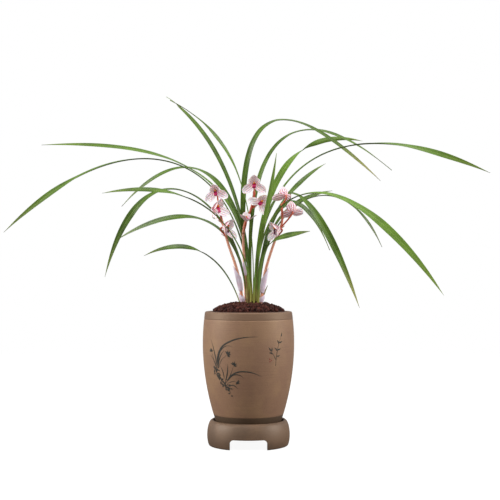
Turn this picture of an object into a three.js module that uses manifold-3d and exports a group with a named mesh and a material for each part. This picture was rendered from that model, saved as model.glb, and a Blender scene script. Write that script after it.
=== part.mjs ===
// Potted orchid: a boat orchid (Cymbidium) with strap leaves and three flower spikes, growing in a
// barrel-shaped stoneware pot that stands on a round three-footed saucer.
// Millimetres, +Z up. The origin is on the pot's axis, on the surface that the saucer's feet stand on.
// +X is the viewer's right and -Y is the front, the side that the flowers look to.
import * as THREE from "three";
import { mergeVertices } from "three/addons/utils/BufferGeometryUtils.js";
import Module from "manifold-3d";

const wasm = await Module();
wasm.setup();

// ---- Driving dimensions ----
const GAP = 0.4; // clearance between pieces that touch
const ROUND_STEPS = 40; // facets round the pot, the saucer and the soil

const POT = {
  foot: 53.5, bottom: 27, belly: 82, bellyLevel: 182, shoulder: 78.5, shoulderLevel: 235,
  rim: 238, corner: 3, lip: 66, wall: 9, floor: 38, drain: 10, rings: 11,
};
const SAUCER = {
  foot: 71, belly: 74, bellyLevel: 18, top: 45, lip: 65, lipTurn: 2.5, lipDrop: 1.5,
  seat: 26.6, seatRadius: 61.8, under: 20, footInner: 59, footRings: 3, shoulderRings: 8,
};
const ARCH = { width: 65, height: 18.3, corner: 7, headings: [-90, 30, 150] };
const SOIL = { radius: 65.4, edge: 237, rise: 17, fullness: 0.65, foot: 38.4 };

const LEAF = { stations: 20, thickness: 1.3, baseWidth: 5, fold: 0.2, lift: 1.4, taperFrom: 0.64 };
const SCALE = { stations: 5, taper: 0.8 };
const STEM = { sides: 8, stations: 10, radius: 2.9, taper: 0.35, lift: 1.8, stalkRadius: 1.5, stalkBend: 9 };
const SHEATH = { wall: 0.9, bulge: 1.2, slant: 0.45, levels: [0, 0.25, 0.5, 0.75, 1] };
const HEART = { radius: 2.4, gap: 0.5 };
const PETAL = { stations: 5, thickness: 1.1, fold: 0.24, steepest: 46, rootShare: 0.08, spread: 0.76 };
const LIP = {
  widths: [3, 6, 8, 7.5, 4.5], thickness: 1.1, fold: 0.2,
  columnRadius: 1.5, columnTaper: 0.2, columnRings: 4, rootReach: 4.6,
};
const LIP_LINE = [[4, -0.6], [7, -1.6], [9, -4], [8.8, -6.8], [7, -8.6]]; // [out of the flower, up]
const COLUMN_LINE = [[4, 0.2], [7.5, 3.6], [10, 0.9]];

const MATERIALS = {
  clay: { color: 0x8a6a50, roughness: 0.62, metalness: 0 },
  saucer: { color: 0x6b5443, roughness: 0.5, metalness: 0 },
  soil: { color: 0x3a1c12, roughness: 0.95, metalness: 0 },
  leaf: { color: 0x3f6a1e, roughness: 0.42, metalness: 0 },
  stem: { color: 0xd0795a, roughness: 0.5, metalness: 0 },
  sheath: { color: 0xcdb7cf, roughness: 0.6, metalness: 0 },
  scale: { color: 0x8f7a45, roughness: 0.8, metalness: 0 },
  petal: { color: 0xf1e3ea, roughness: 0.5, metalness: 0 },
  lip: { color: 0xe05a94, roughness: 0.5, metalness: 0 },
};

// Each leaf leaves the soil at base and arches to its tip in the vertical plane of its heading, as a cubic
// curve. rise pulls it up as it leaves the soil, and crown pulls it over: each is [reach from the base,
// height], as tip is. roll turns the blade about its own length, spread evenly from base to tip.
const LEAVES = [
  { name: "leaf_left_high", base: [3, 13], heading: 174, width: 9.5,
    roll: [-60, -55, -30, -8, -45, -65, -65],
    rise: [0, 430], crown: [60, 555], tip: [390, 545] },
  { name: "leaf_left_longest", base: [-1, 0], heading: 180, width: 16,
    roll: [-50, -30, -8, -6, -6, -10, -25, -75, -75],
    rise: [-5, 500], crown: [190, 625], tip: [440, 380] },
  { name: "leaf_left_back_short", base: [2, 19], heading: 158, width: 11,
    roll: [-40, -40, -40, -50, -45, -8, -50, -75, -60],
    rise: [0, 465], crown: [105, 590], tip: [265, 435] },
  { name: "leaf_left_tallest", base: [6, 23], heading: 140, width: 8.5,
    roll: [-30, -20, -20, -30, -40, -60, -50],
    rise: [5, 395], crown: [60, 560], tip: [220, 655] },
  { name: "leaf_left_upright", base: [8, 1], heading: -160, width: 9,
    roll: [-20, -15, -15, -15, -20, -45, -70, -20, -10],
    rise: [-5, 410], crown: [15, 550], tip: [155, 610] },
  { name: "leaf_left_front", base: [4, -27], heading: -146, width: 10,
    roll: [-40, -55, -50, -25, -10, -12, -60, -70, -70],
    rise: [0, 360], crown: [80, 480], tip: [290, 435] },
  { name: "leaf_left_drooping", base: [-4, -14], heading: -174, width: 13,
    roll: [-40, -50, -45, -25, -8, -25, -75, -75, -60],
    rise: [5, 430], crown: [180, 580], tip: [250, 300] },
  { name: "leaf_left_back_low", base: [-5, 14], heading: 153, width: 11,
    roll: [-30, -25, -20, -15, -15, -60, -75, -70, -70],
    rise: [0, 390], crown: [100, 465], tip: [285, 370] },
  { name: "leaf_left_lowest", base: [-16, -10], heading: -138, width: 9,
    roll: [-30, -20, -10, -10, -15, -60, -70, -50, -40],
    rise: [25, 310], crown: [90, 385], tip: [210, 335] },
  { name: "leaf_right_arching", base: [0, 8.5], heading: 14, width: 12.5,
    roll: [70, 80, 80, 70, 40, 15, 45, 70, 70],
    rise: [-35, 570], crown: [10, 695], tip: [255, 480] },
  { name: "leaf_right_back_arching", base: [7, 11], heading: 22, width: 11,
    roll: [40, 50, 50, 45, 25, 8, 45, 45, 10],
    rise: [-25, 530], crown: [60, 665], tip: [290, 505] },
  { name: "leaf_right_pale", base: [11, 16], heading: 38, width: 12.5,
    roll: [50, 60, 60, 60, 60, 5, -70, -70, -60],
    rise: [5, 450], crown: [70, 585], tip: [275, 570] },
  { name: "leaf_right_longest", base: [13, 2], heading: 3, width: 17,
    roll: [40, 30, 15, 8, 5, 5, 30, 80, 75],
    rise: [-5, 480], crown: [120, 625], tip: [430, 490] },
  { name: "leaf_centre_front", base: [10, -22], heading: -50, width: 10,
    roll: [0, 0, 0, 0],
    rise: [0, 340], crown: [45, 425], tip: [60, 515] },
  { name: "leaf_back_straight", base: [15, 18], heading: 50, width: 9,
    roll: [10, 10, 10, 5, 5, 10, 60, 60, 40],
    rise: [10, 375], crown: [60, 460], tip: [215, 525] },
  { name: "leaf_right_front_drooping", base: [13, -9], heading: -2, width: 14,
    roll: [30, 30, 20, 10, 20, 70, 75, 70, 60],
    rise: [5, 485], crown: [75, 550], tip: [185, 245] },
  { name: "leaf_right_back_drooping", base: [19, 5], heading: 30, width: 11,
    roll: [30, 30, 30, 20, 20, 60, 75, 60, 40],
    rise: [5, 430], crown: [75, 510], tip: [155, 350] },
  { name: "leaf_back_low", base: [19, 10], heading: 36, width: 9,
    roll: [10, 10, 5, 5, 5, 10, 60, 70, 50],
    rise: [5, 390], crown: [55, 445], tip: [175, 465] },
  { name: "leaf_right_front_long", base: [16, -16], heading: -30, width: 14,
    roll: [20, 15, 8, 10, 20, 30, 70, 75, 60],
    rise: [-15, 480], crown: [160, 530], tip: [345, 270] },
  { name: "leaf_right_low", base: [17, -1], heading: 12, width: 10,
    roll: [30, 20, 10, 5, 5, 5, 20, 70, 60],
    rise: [0, 430], crown: [150, 535], tip: [235, 355] },
  { name: "leaf_front_short", base: [18, -22], heading: -60, width: 11.5,
    roll: [0, 0, 10, 20, 50, 70, 70, 60],
    rise: [0, 375], crown: [40, 365], tip: [165, 375] },
];

// Dry papery scales that clasp the foot of the growths.
const SCALES = [
  { name: "basal_scale_left", base: [-10, -1], heading: 182, width: 8,
    rise: [3, 262], crown: [5, 275], tip: [9, 287] },
  { name: "basal_scale_front", base: [-1, -24], heading: -115, width: 8,
    rise: [2, 260], crown: [4, 271], tip: [7, 281] },
  { name: "basal_scale_right", base: [24, -3], heading: 10, width: 8,
    rise: [3, 261], crown: [6, 273], tip: [11, 285] },
];

// Each spike is a stem through its points, with the heights along it where its sheaths start and end,
// and its flowers, lowest last. heart is a flower's centre, heading and lift give the way it faces,
// tilt turns it about that way, and open is the angle of its petals from that way: 90 is flat.
const SPIKES = [
  { name: "left",
    points: [[-10, -18], [-20, -23, 310], [-38, -25, 365], [-54, -29, 428]],
    sheaths: [[0.01, 0.1], [0.12, 0.38]],
    flowers: [
      { place: "top", heart: [-57, -38, 451], heading: -100, lift: -5, tilt: 10, open: 74, size: 1, from: 1 },
      { place: "middle", heart: [-62, -40, 421], heading: -38, lift: 8, tilt: 10, open: 66, size: 1.25,
        from: 0.82 },
      { place: "low", heart: [-46, -32, 387], heading: -25, lift: 6, tilt: -12, open: 60, size: 1.25,
        from: 0.68 },
    ] },
  { name: "centre",
    points: [[-4, -8], [-8, -8, 330], [-8, -8, 390], [4, -9, 420], [11, -9, 450]],
    sheaths: [[0.24, 0.37]],
    flowers: [
      { place: "top", heart: [10, -14, 466], heading: -90, lift: 0, tilt: 0, open: 84, size: 1, from: 1 },
      { place: "middle", heart: [22, -17, 433], heading: -80, lift: 5, tilt: -40, open: 76, size: 1,
        from: 0.86 },
      { place: "low", heart: [-4, -25, 398], heading: -70, lift: 72, tilt: 0, open: 50, size: 0.9,
        from: 0.62 },
    ] },
  { name: "right",
    points: [[22, -14], [30, -18, 310], [49, -27, 370], [59, -28, 395], [59, -28, 430]],
    sheaths: [[0.01, 0.085], [0.1, 0.36]],
    flowers: [
      { place: "top", heart: [66, -31, 444], heading: 115, lift: 25, tilt: 0, open: 60, size: 1, from: 1 },
      { place: "middle", heart: [78, -34, 415], heading: 98, lift: 30, tilt: -10, open: 60, size: 1.1,
        from: 0.76 },
      { place: "low", heart: [56, -39, 384], heading: -158, lift: 0, tilt: 8, open: 60, size: 1.2,
        from: 0.66 },
    ] },
];

// The five petals of a flower: angle from the top, length, width, and how far each leans off the flower's
// opening angle. bend is how far a petal curves forward from root to tip.
const PETALS = [
  { angle: 0, length: 20, width: 15, lean: -22, bend: 34 },
  { angle: 126, length: 26, width: 15, lean: 6, bend: 18 },
  { angle: -126, length: 26, width: 15, lean: 6, bend: 18 },
  { angle: 54, length: 17, width: 11, lean: -24, bend: 38 },
  { angle: -54, length: 17, width: 11, lean: -24, bend: 38 },
];

// ---- Shared shape builders ----
const deg = THREE.MathUtils.degToRad;
const lerp = THREE.MathUtils.lerp;
const vec = (x, y, z) => new THREE.Vector3(x, y, z);

// Reads values spread evenly over 0 to 1 at t, in straight lines between them.
function spread(values, t) {
  const at = Math.min(t, 0.999999) * (values.length - 1);
  const i = Math.floor(at);
  return lerp(values[i], values[i + 1], at - i);
}

// The soil's height at a place: a full low dome over the pot's mouth.
function soilHeight(x, y) {
  const share = Math.min(1, (x * x + y * y) / SOIL.radius ** 2);
  return SOIL.edge + SOIL.rise * (1 - share) ** SOIL.fullness;
}

// A closed body through rings of points that turn right-handed about the way they run. It ends in a point
// at tip, closes on its own first ring where loop is set, and is otherwise capped flat. The faces' diagonals
// alternate round the ring, so that the upper and the lower face of a twisted blade fold alike.
function loft(rings, { tip = null, loop = false } = {}) {
  const count = rings[0].length;
  const points = rings.flat();
  const faces = [];
  const spans = loop ? rings.length : rings.length - 1;
  for (let k = 0; k < spans; k++) {
    const here = k * count;
    const next = ((k + 1) % rings.length) * count;
    for (let i = 0; i < count; i++) {
      const [a, b, c, d] = [here + i, here + ((i + 1) % count), next + ((i + 1) % count), next + i];
      faces.push(...(i % 2 ? [a, b, d, b, c, d] : [a, b, c, a, c, d]));
    }
  }
  const last = (rings.length - 1) * count;
  for (let i = 1; i < count - 1 && !loop; i++) {
    const a = (1 + i) % count;
    const b = (2 + i) % count;
    faces.push(1, b, a);
    if (!tip) faces.push(last + 1, last + a, last + b);
  }
  for (let i = 0; i < count && tip; i++) faces.push(last + i, last + ((i + 1) % count), points.length);
  if (tip) points.push(tip);
  const geometry = new THREE.BufferGeometry();
  geometry.setAttribute("position", new THREE.Float32BufferAttribute(points.flatMap((p) => p.toArray()), 3));
  geometry.setIndex(faces);
  return geometry;
}

// One ring of a thin folded blade: right edge, upper ridge, left edge, lower ridge.
function bladeRing(centre, along, face, width, thickness, fold) {
  const side = face.clone().cross(along).normalize();
  const at = (s, n) => centre.clone().addScaledVector(side, s).addScaledVector(face, n);
  const raised = fold * width * 0.5;
  const half = width * 0.5;
  return [at(half, raised), at(0, thickness * 0.5), at(-half, raised), at(0, -thickness * 0.5)];
}

// A round tube along a curve, radius as a function of 0 to 1, with flat ends.
function tube(curve, stations, sides, radius) {
  const frames = curve.computeFrenetFrames(stations, false);
  const rings = [];
  for (let k = 0; k <= stations; k++) {
    const centre = curve.getPointAt(k / stations);
    const ring = [];
    for (let i = 0; i < sides; i++) {
      const turn = (i / sides) * Math.PI * 2;
      const reach = radius(k / stations);
      const normal = frames.normals[k].clone().multiplyScalar(Math.cos(turn) * reach);
      ring.push(centre.clone().add(normal).addScaledVector(frames.binormals[k], Math.sin(turn) * reach));
    }
    rings.push(ring);
  }
  return loft(rings);
}

function toSolid(geometry) {
  const bare = new THREE.BufferGeometry();
  bare.setAttribute("position", geometry.getAttribute("position").clone());
  if (geometry.index) bare.setIndex(geometry.index.clone());
  const merged = mergeVertices(bare, 1e-4);
  const vertProperties = merged.getAttribute("position").array;
  const triVerts = new Uint32Array(merged.index.array);
  return new wasm.Manifold(new wasm.Mesh({ numProp: 3, vertProperties, triVerts }));
}

function toGeometry(solid) {
  const mesh = solid.getMesh();
  const geometry = new THREE.BufferGeometry();
  geometry.setAttribute("position", new THREE.BufferAttribute(new Float32Array(mesh.vertProperties), 3));
  geometry.setIndex(new THREE.BufferAttribute(new Uint32Array(mesh.triVerts), 1));
  return geometry;
}

const join = (geometries) => toGeometry(geometries.map(toSolid).reduce((whole, piece) => whole.add(piece)));
const cut = (body, cutters) =>
  toGeometry(cutters.map(toSolid).reduce((left, piece) => left.subtract(piece), toSolid(body)));

// A turned body from a closed outline of [radius, height], standing on +Z.
function turned(outline) {
  const profile = outline.map(([r, z]) => new THREE.Vector2(r, z));
  return new THREE.LatheGeometry(profile, ROUND_STEPS).rotateX(Math.PI / 2);
}

function piece(name, geometry, material) {
  const flat = geometry.index ? geometry.toNonIndexed() : geometry;
  flat.computeVertexNormals();
  const mesh = new THREE.Mesh(flat, new THREE.MeshStandardMaterial(MATERIALS[material]));
  mesh.name = name;
  return mesh;
}

// ---- Pot, saucer and soil ----
// The pot's outer radius at a level: a parabola below the belly and another above it.
function potRadius(level) {
  const below = level < POT.bellyLevel;
  const end = below ? POT.foot : POT.shoulder;
  const endLevel = below ? POT.bottom : POT.shoulderLevel;
  return POT.belly - (POT.belly - end) * ((level - POT.bellyLevel) / (endLevel - POT.bellyLevel)) ** 2;
}

// The inside of the pot's wall, from the belly down to the floor.
const potInside = [1, 0.7, 0.4, 0.15, 0].map((share) => {
  const level = lerp(POT.floor, POT.bellyLevel, share);
  return [potRadius(level) - POT.wall, level];
});

function pot() {
  const outside = [];
  for (let k = 0; k <= POT.rings; k++) {
    const level = lerp(POT.bottom, POT.shoulderLevel, k / POT.rings);
    outside.push([potRadius(level), level]);
  }
  const lipLevel = POT.rim - POT.corner;
  const mouth = [[POT.shoulder - POT.corner, POT.rim], [POT.lip + POT.corner, POT.rim], [POT.lip, lipLevel]];
  const drain = [[POT.drain, POT.floor], [POT.drain, POT.bottom], [POT.foot, POT.bottom]];
  return piece("pot", turned([...outside, ...mouth, ...potInside, ...drain]), "clay");
}

// The saucer's outside: a parabola from the floor up to its belly, a quarter of an ellipse from there over
// to the top of the lip, and the lip's fall to the inside.
function saucerOutside() {
  const outline = [];
  for (let k = 0; k < SAUCER.footRings; k++) {
    const share = k / SAUCER.footRings;
    outline.push([SAUCER.belly - (SAUCER.belly - SAUCER.foot) * (1 - share) ** 2, share * SAUCER.bellyLevel]);
  }
  for (let k = 0; k <= SAUCER.shoulderRings; k++) {
    const turn = (k / SAUCER.shoulderRings) * (Math.PI / 2);
    const radius = SAUCER.lip + (SAUCER.belly - SAUCER.lip) * Math.cos(turn);
    outline.push([radius, SAUCER.bellyLevel + (SAUCER.top - SAUCER.bellyLevel) * Math.sin(turn)]);
  }
  return [...outline, [SAUCER.lip - SAUCER.lipTurn, SAUCER.top - SAUCER.lipDrop]];
}

function saucer() {
  const well = [[SAUCER.seatRadius, SAUCER.seat], [0, SAUCER.seat]];
  const underside = [[0, SAUCER.under], [SAUCER.footInner, SAUCER.under], [SAUCER.footInner, 0]];
  const body = turned([...underside, ...saucerOutside(), ...well]);
  return piece("saucer", cut(body, ARCH.headings.map(archCutter)), "saucer");
}

// A prism with round upper corners that opens the wall of the saucer between two feet.
function archCutter(heading) {
  const half = ARCH.width / 2;
  const top = ARCH.height - ARCH.corner;
  const shape = new THREE.Shape();
  shape.moveTo(-half, -1);
  shape.lineTo(half, -1);
  shape.lineTo(half, top);
  shape.absarc(half - ARCH.corner, top, ARCH.corner, 0, Math.PI / 2, false);
  shape.absarc(ARCH.corner - half, top, ARCH.corner, Math.PI / 2, Math.PI, false);
  const prism = new THREE.ExtrudeGeometry(shape, { depth: 60, bevelEnabled: false, curveSegments: 5 });
  return prism.rotateX(Math.PI / 2).translate(0, -30, 0).rotateZ(deg(heading + 90));
}

function soil() {
  const reaches = [0, 0.35, 0.6, 0.8, 0.93, 1].map((share) => share * SOIL.radius);
  const dome = reaches.map((reach) => [reach, soilHeight(reach, 0)]);
  const side = potInside.map(([r, z]) => [r - GAP, Math.max(z, SOIL.foot)]).reverse();
  const outline = [[0, SOIL.foot], ...side, [SOIL.radius, POT.rim - POT.corner - 1], ...dome.reverse()];
  return piece("potting_mix", turned(outline), "soil");
}

// ---- Leaves and basal scales ----
// A tapering blade that leaves the soil at base. widthAt gives its width along it from 0 to 1.
function strap({ base, heading, rise, crown, tip, roll = [0, 0] }, stations, widthAt) {
  const out = vec(Math.cos(deg(heading)), Math.sin(deg(heading)), 0);
  const side = vec(-out.y, out.x, 0);
  const foot = vec(base[0], base[1], soilHeight(...base) + LEAF.lift);
  const place = ([reach, height]) => vec(base[0], base[1], height).addScaledVector(out, reach);
  const spine = new THREE.CubicBezierCurve3(foot, place(rise), place(crown), place(tip));
  const rings = [];
  for (let k = 0; k < stations; k++) {
    const t = k / stations;
    const tangent = spine.getTangentAt(t);
    const upper = tangent.clone().cross(side).normalize();
    upper.applyAxisAngle(tangent, deg(spread(roll, t)));
    rings.push(bladeRing(spine.getPointAt(t), tangent, upper, widthAt(t), LEAF.thickness, LEAF.fold));
  }
  return loft(rings, { tip: spine.getPointAt(1) });
}

function leaf(row) {
  const widthAt = (t) => {
    const taper = t < LEAF.taperFrom ? 1 : 1 - ((t - LEAF.taperFrom) / (1 - LEAF.taperFrom)) ** 2.2;
    return taper * lerp(LEAF.baseWidth, row.width, THREE.MathUtils.smoothstep(t, 0, 0.4));
  };
  return piece(row.name, strap(row, LEAF.stations, widthAt), "leaf");
}

function scale(row) {
  return piece(row.name, strap(row, SCALE.stations, (t) => row.width * (1 - SCALE.taper * t * t)), "scale");
}

// ---- Flower spikes ----
function spikeCurve({ points }) {
  const [x, y] = points[0];
  const foot = vec(x, y, soilHeight(x, y) + STEM.lift);
  return new THREE.CatmullRomCurve3([foot, ...points.slice(1).map((p) => vec(...p))], false, "centripetal");
}

// The way a flower faces, as a rotation of the frame whose +X leaves the flower and +Z is its top.
function flowerTurn({ heading, lift, tilt }) {
  return new THREE.Euler(deg(tilt), -deg(lift), deg(heading), "ZYX");
}

// The stem with its flower stalks, which grow as one piece and stop just short of each flower.
function spikeStem(spike) {
  const curve = spikeCurve(spike);
  const stem = tube(curve, STEM.stations, STEM.sides, (t) => STEM.radius * (1 - STEM.taper * t));
  const stalks = spike.flowers.map((flower) => {
    const heart = vec(...flower.heart);
    const facing = vec(1, 0, 0).applyEuler(flowerTurn(flower));
    const end = heart.clone().addScaledVector(facing, -HEART.radius * flower.size - HEART.gap);
    const bend = heart.clone().addScaledVector(facing, -STEM.stalkBend);
    const start = curve.getPointAt(Math.min(flower.from, 0.985));
    return tube(new THREE.QuadraticBezierCurve3(start, bend, end), 4, 6, () => STEM.stalkRadius);
  });
  return piece(`${spike.name}_spike_stem`, join([stem, ...stalks]), "stem");
}

// A papery sleeve round the stem whose upper edge slants to a tongue.
function sheath(spike, [start, end], index) {
  const curve = spikeCurve(spike);
  const fine = 200;
  const frames = curve.computeFrenetFrames(fine, false);
  const ringAt = (level, thickness) =>
    Array.from({ length: STEM.sides }, (_, i) => {
      const turn = (i / STEM.sides) * Math.PI * 2;
      const cutBack = 1 - SHEATH.slant * (0.5 - 0.5 * Math.cos(turn));
      const k = Math.round(fine * lerp(start, end, level * cutBack));
      const reach = STEM.radius + GAP + SHEATH.bulge * Math.sin(Math.PI * level * 0.8) + thickness;
      return curve.getPointAt(k / fine)
        .addScaledVector(frames.normals[k], Math.cos(turn) * reach)
        .addScaledVector(frames.binormals[k], Math.sin(turn) * reach);
    });
  const outer = SHEATH.levels.map((level) => ringAt(level, SHEATH.wall));
  const inner = SHEATH.levels.map((level) => ringAt(level, 0)).reverse();
  const sleeve = loft([...outer, ...inner], { loop: true });
  return piece(`${spike.name}_spike_sheath_${index + 1}`, sleeve, "sheath");
}

// A petal as a blade on a circular arc. It leaves the heart at start degrees off the flower's axis and bends
// forward as it goes.
function petal({ angle, length, width, lean, bend }, open, size) {
  const start = Math.max(PETAL.steepest, open + lean);
  const radial = vec(0, -Math.sin(deg(angle)), Math.cos(deg(angle)));
  const step = (length * size) / PETAL.stations;
  const centre = vec(0, 0, 0);
  const rings = [];
  for (let k = 0; k < PETAL.stations; k++) {
    const t = k / PETAL.stations;
    const off = deg(start - bend * t);
    const along = radial.clone().multiplyScalar(Math.sin(off)).add(vec(Math.cos(off), 0, 0));
    const face = vec(Math.sin(off), 0, 0).addScaledVector(radial, -Math.cos(off));
    const swell = Math.sin(Math.PI * (PETAL.rootShare + PETAL.spread * t));
    rings.push(bladeRing(centre, along, face, width * size * swell, PETAL.thickness, PETAL.fold));
    centre.addScaledVector(along, step);
  }
  return loft(rings, { tip: centre.clone() });
}

function tepals(flower) {
  const heart = new THREE.IcosahedronGeometry(HEART.radius * flower.size, 0);
  return join([heart, ...PETALS.map((row) => petal(row, flower.open, flower.size))]);
}

// The tongue of the flower with the arched column over it, joined at their root.
function lipAndColumn({ size }) {
  const inPlane = (line) => line.map(([out, up]) => vec(out, 0, up));
  const tongue = new THREE.CatmullRomCurve3(inPlane(LIP_LINE));
  const rings = LIP.widths.map((width, k) => {
    const t = k / LIP.widths.length;
    const along = tongue.getTangentAt(t);
    const face = along.clone().cross(vec(0, 1, 0));
    return bladeRing(tongue.getPointAt(t), along, face, width, LIP.thickness, LIP.fold);
  });
  const arch = new THREE.QuadraticBezierCurve3(...inPlane(COLUMN_LINE));
  const column = tube(arch, LIP.columnRings, STEM.sides, (t) => LIP.columnRadius * (1 - LIP.columnTaper * t));
  const root = new THREE.IcosahedronGeometry(LIP.columnRadius, 0).translate(LIP.rootReach, 0, 0);
  return join([root, column, loft(rings, { tip: tongue.getPointAt(1) })]).scale(size, size, size);
}

function flowerGroup(spike, flower) {
  const name = `${spike.name}_flower_${flower.place}`;
  const group = new THREE.Group();
  group.position.set(...flower.heart);
  group.rotation.copy(flowerTurn(flower));
  group.add(piece(`${name}_petals`, tepals(flower), "petal"));
  group.add(piece(`${name}_lip`, lipAndColumn(flower), "lip"));
  return group;
}

// ---- The whole plant in its pot ----
const orchid = new THREE.Group();
orchid.add(saucer(), pot(), soil());
orchid.add(...LEAVES.map(leaf), ...SCALES.map(scale));
for (const spike of SPIKES) {
  orchid.add(spikeStem(spike));
  orchid.add(...spike.sheaths.map((span, index) => sheath(spike, span, index)));
  orchid.add(...spike.flowers.map((flower) => flowerGroup(spike, flower)));
}

export default orchid;
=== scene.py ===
"""A boat orchid in a barrel-shaped stoneware pot on a three-footed saucer.

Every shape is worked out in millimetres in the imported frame's own axes (+Z up, front at -Y) and turned into
metres as it goes into its mesh.
"""

import logging
import math
from dataclasses import dataclass, field
from enum import Enum
from typing import Any

import bpy
import numpy as np
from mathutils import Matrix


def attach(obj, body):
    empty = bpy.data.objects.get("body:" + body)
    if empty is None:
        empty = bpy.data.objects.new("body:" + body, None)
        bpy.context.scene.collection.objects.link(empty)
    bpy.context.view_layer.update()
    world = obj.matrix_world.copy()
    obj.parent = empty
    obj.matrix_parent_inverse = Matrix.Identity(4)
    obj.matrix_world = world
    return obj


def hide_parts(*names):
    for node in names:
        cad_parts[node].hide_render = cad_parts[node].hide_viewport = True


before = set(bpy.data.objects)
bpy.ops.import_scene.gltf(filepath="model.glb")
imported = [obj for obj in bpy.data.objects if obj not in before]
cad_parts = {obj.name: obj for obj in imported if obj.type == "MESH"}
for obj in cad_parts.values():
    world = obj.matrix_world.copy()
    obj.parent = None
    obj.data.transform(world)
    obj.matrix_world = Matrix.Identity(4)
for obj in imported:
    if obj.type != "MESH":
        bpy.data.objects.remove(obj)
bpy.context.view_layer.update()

MM = 0.001
LOG = logging.getLogger("orchid")
Colour = tuple[float, float, float, float]


# ---- Curves and surfaces ----
def unit(vectors: np.ndarray) -> np.ndarray:
    """The vectors, each divided by its own length."""
    return vectors / np.maximum(np.linalg.norm(vectors, axis=-1, keepdims=True), 1e-12)


def fade(x: np.ndarray, low: float, high: float) -> np.ndarray:
    """A smooth step: 0 below low, 1 above high, and 3t squared minus 2t cubed between them."""
    t = np.clip((x - low) / (high - low), 0, 1)
    return t * t * (3 - 2 * t)


def spline(points: Any, at: np.ndarray, density: int = 40) -> np.ndarray:
    """Reads a centripetal Catmull-Rom curve at shares of its length.

    Each span is a cubic through its two points. Its end slopes come from the neighbouring points, with knots
    spaced by the square root of the distance between points.

    Args:
        points: the points that the curve goes through, one a row.
        at: shares of the curve's length, from 0 to 1.
        density: how many samples each span gets before the curve is read by length.

    Returns:
        One point for each share.
    """
    p = np.asarray(points, float)
    p = np.vstack([2 * p[0] - p[1], p, 2 * p[-1] - p[-2]])
    gap = np.sqrt(np.maximum(np.linalg.norm(np.diff(p, axis=0), axis=1), 1e-9))[:, None]
    before, here, after = gap[:-2], gap[1:-1], gap[2:]
    a, b, c, d = p[:-3], p[1:-2], p[2:-1], p[3:]
    leave = ((b - a) / before - (c - a) / (before + here) + (c - b) / here) * here
    arrive = ((c - b) / here - (d - b) / (here + after) + (d - c) / after) * here
    t = np.linspace(0, 1, density, endpoint=False)[:, None, None]
    square = 3 * (c - b) - 2 * leave - arrive
    cube = 2 * (b - c) + leave + arrive
    spans = b + leave * t + square * t**2 + cube * t**3
    dense = np.vstack([spans.transpose(1, 0, 2).reshape(-1, p.shape[1]), p[-2]])
    length = np.concatenate([[0], np.cumsum(np.linalg.norm(np.diff(dense, axis=0), axis=1))])
    return np.stack([np.interp(at * length[-1], length, axis) for axis in dense.T], axis=1)


def smooth_read(rows: np.ndarray, at: np.ndarray) -> np.ndarray:
    """Reads rows that are evenly spaced at fractional places, as a Catmull-Rom curve through them."""
    last = len(rows) - 1
    i = np.clip(np.floor(at).astype(int), 0, last - 1)
    t = (at - i)[:, None]
    a, b, c, d = (rows[np.clip(i + k, 0, last)] for k in (-1, 0, 1, 2))
    slope_in, slope_out = (c - a) / 2, (d - b) / 2
    return b + slope_in * t + (3 * (c - b) - 2 * slope_in - slope_out) * t**2 + (
        2 * (b - c) + slope_in + slope_out) * t**3


@dataclass
class Surface:
    """A closed skin: points in millimetres, faces, a UV place for each point, and values its finish reads."""

    points: np.ndarray
    faces: list[np.ndarray]
    uv: np.ndarray
    marks: dict[str, np.ndarray] = field(default_factory=dict)

    def marked(self, **values: Any) -> "Surface":
        """The surface with named values, each spread over all its points."""
        for name, value in values.items():
            self.marks[name] = np.broadcast_to(np.asarray(value, float), len(self.points)).copy()
        return self

    def placed(self, turn: np.ndarray, place: np.ndarray) -> "Surface":
        """The surface turned by a rotation matrix and then moved to a place."""
        self.points = self.points @ turn.T + place
        return self


def joined(parts: list[Surface]) -> Surface:
    """Several surfaces as one, each keeping its own points. A mark that a part lacks is 0 there."""
    starts = np.cumsum([0] + [len(p.points) for p in parts[:-1]])
    names = sorted({name for p in parts for name in p.marks})
    marks = {n: np.concatenate([p.marks.get(n, np.zeros(len(p.points))) for p in parts]) for n in names}
    faces = [face + start for p, start in zip(parts, starts) for face in p.faces]
    return Surface(np.vstack([p.points for p in parts]), faces, np.vstack([p.uv for p in parts]), marks)


def skin(rings: np.ndarray, uv: np.ndarray, loop: bool = False) -> Surface:
    """A closed skin through rings of points that turn right-handed about the way they run.

    Point (k, i) joins (k, i+1), (k+1, i+1) and (k+1, i) as one face, and i wraps round the ring. With loop
    set the last ring joins the first, and otherwise a fan to the middle of each end ring closes it.

    Args:
        rings: points by station and place round the ring.
        uv: UV places in the same order.
        loop: whether the rings close on themselves.

    Returns:
        The surface.
    """
    stations, sides = rings.shape[:2]
    spans = stations if loop else stations - 1
    here = np.arange(spans)[:, None] * sides
    there = (np.arange(spans)[:, None] + 1) % stations * sides
    i = np.arange(sides)[None, :]
    j = (i + 1) % sides
    faces = [np.stack([here + i, here + j, there + j, there + i], axis=-1).reshape(-1, 4)]
    points, places = rings.reshape(-1, 3), uv.reshape(-1, 2)
    if not loop:
        i, j, last, pole = i[0], j[0], (stations - 1) * sides, stations * sides
        faces.append(np.stack([j, i, np.full(sides, pole)], axis=-1))
        faces.append(np.stack([last + i, last + j, np.full(sides, pole + 1)], axis=-1))
        points = np.vstack([points, rings[0].mean(axis=0), rings[-1].mean(axis=0)])
        places = np.vstack([places, uv[0].mean(axis=0), uv[-1].mean(axis=0)])
    return Surface(points, faces, places)


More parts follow.
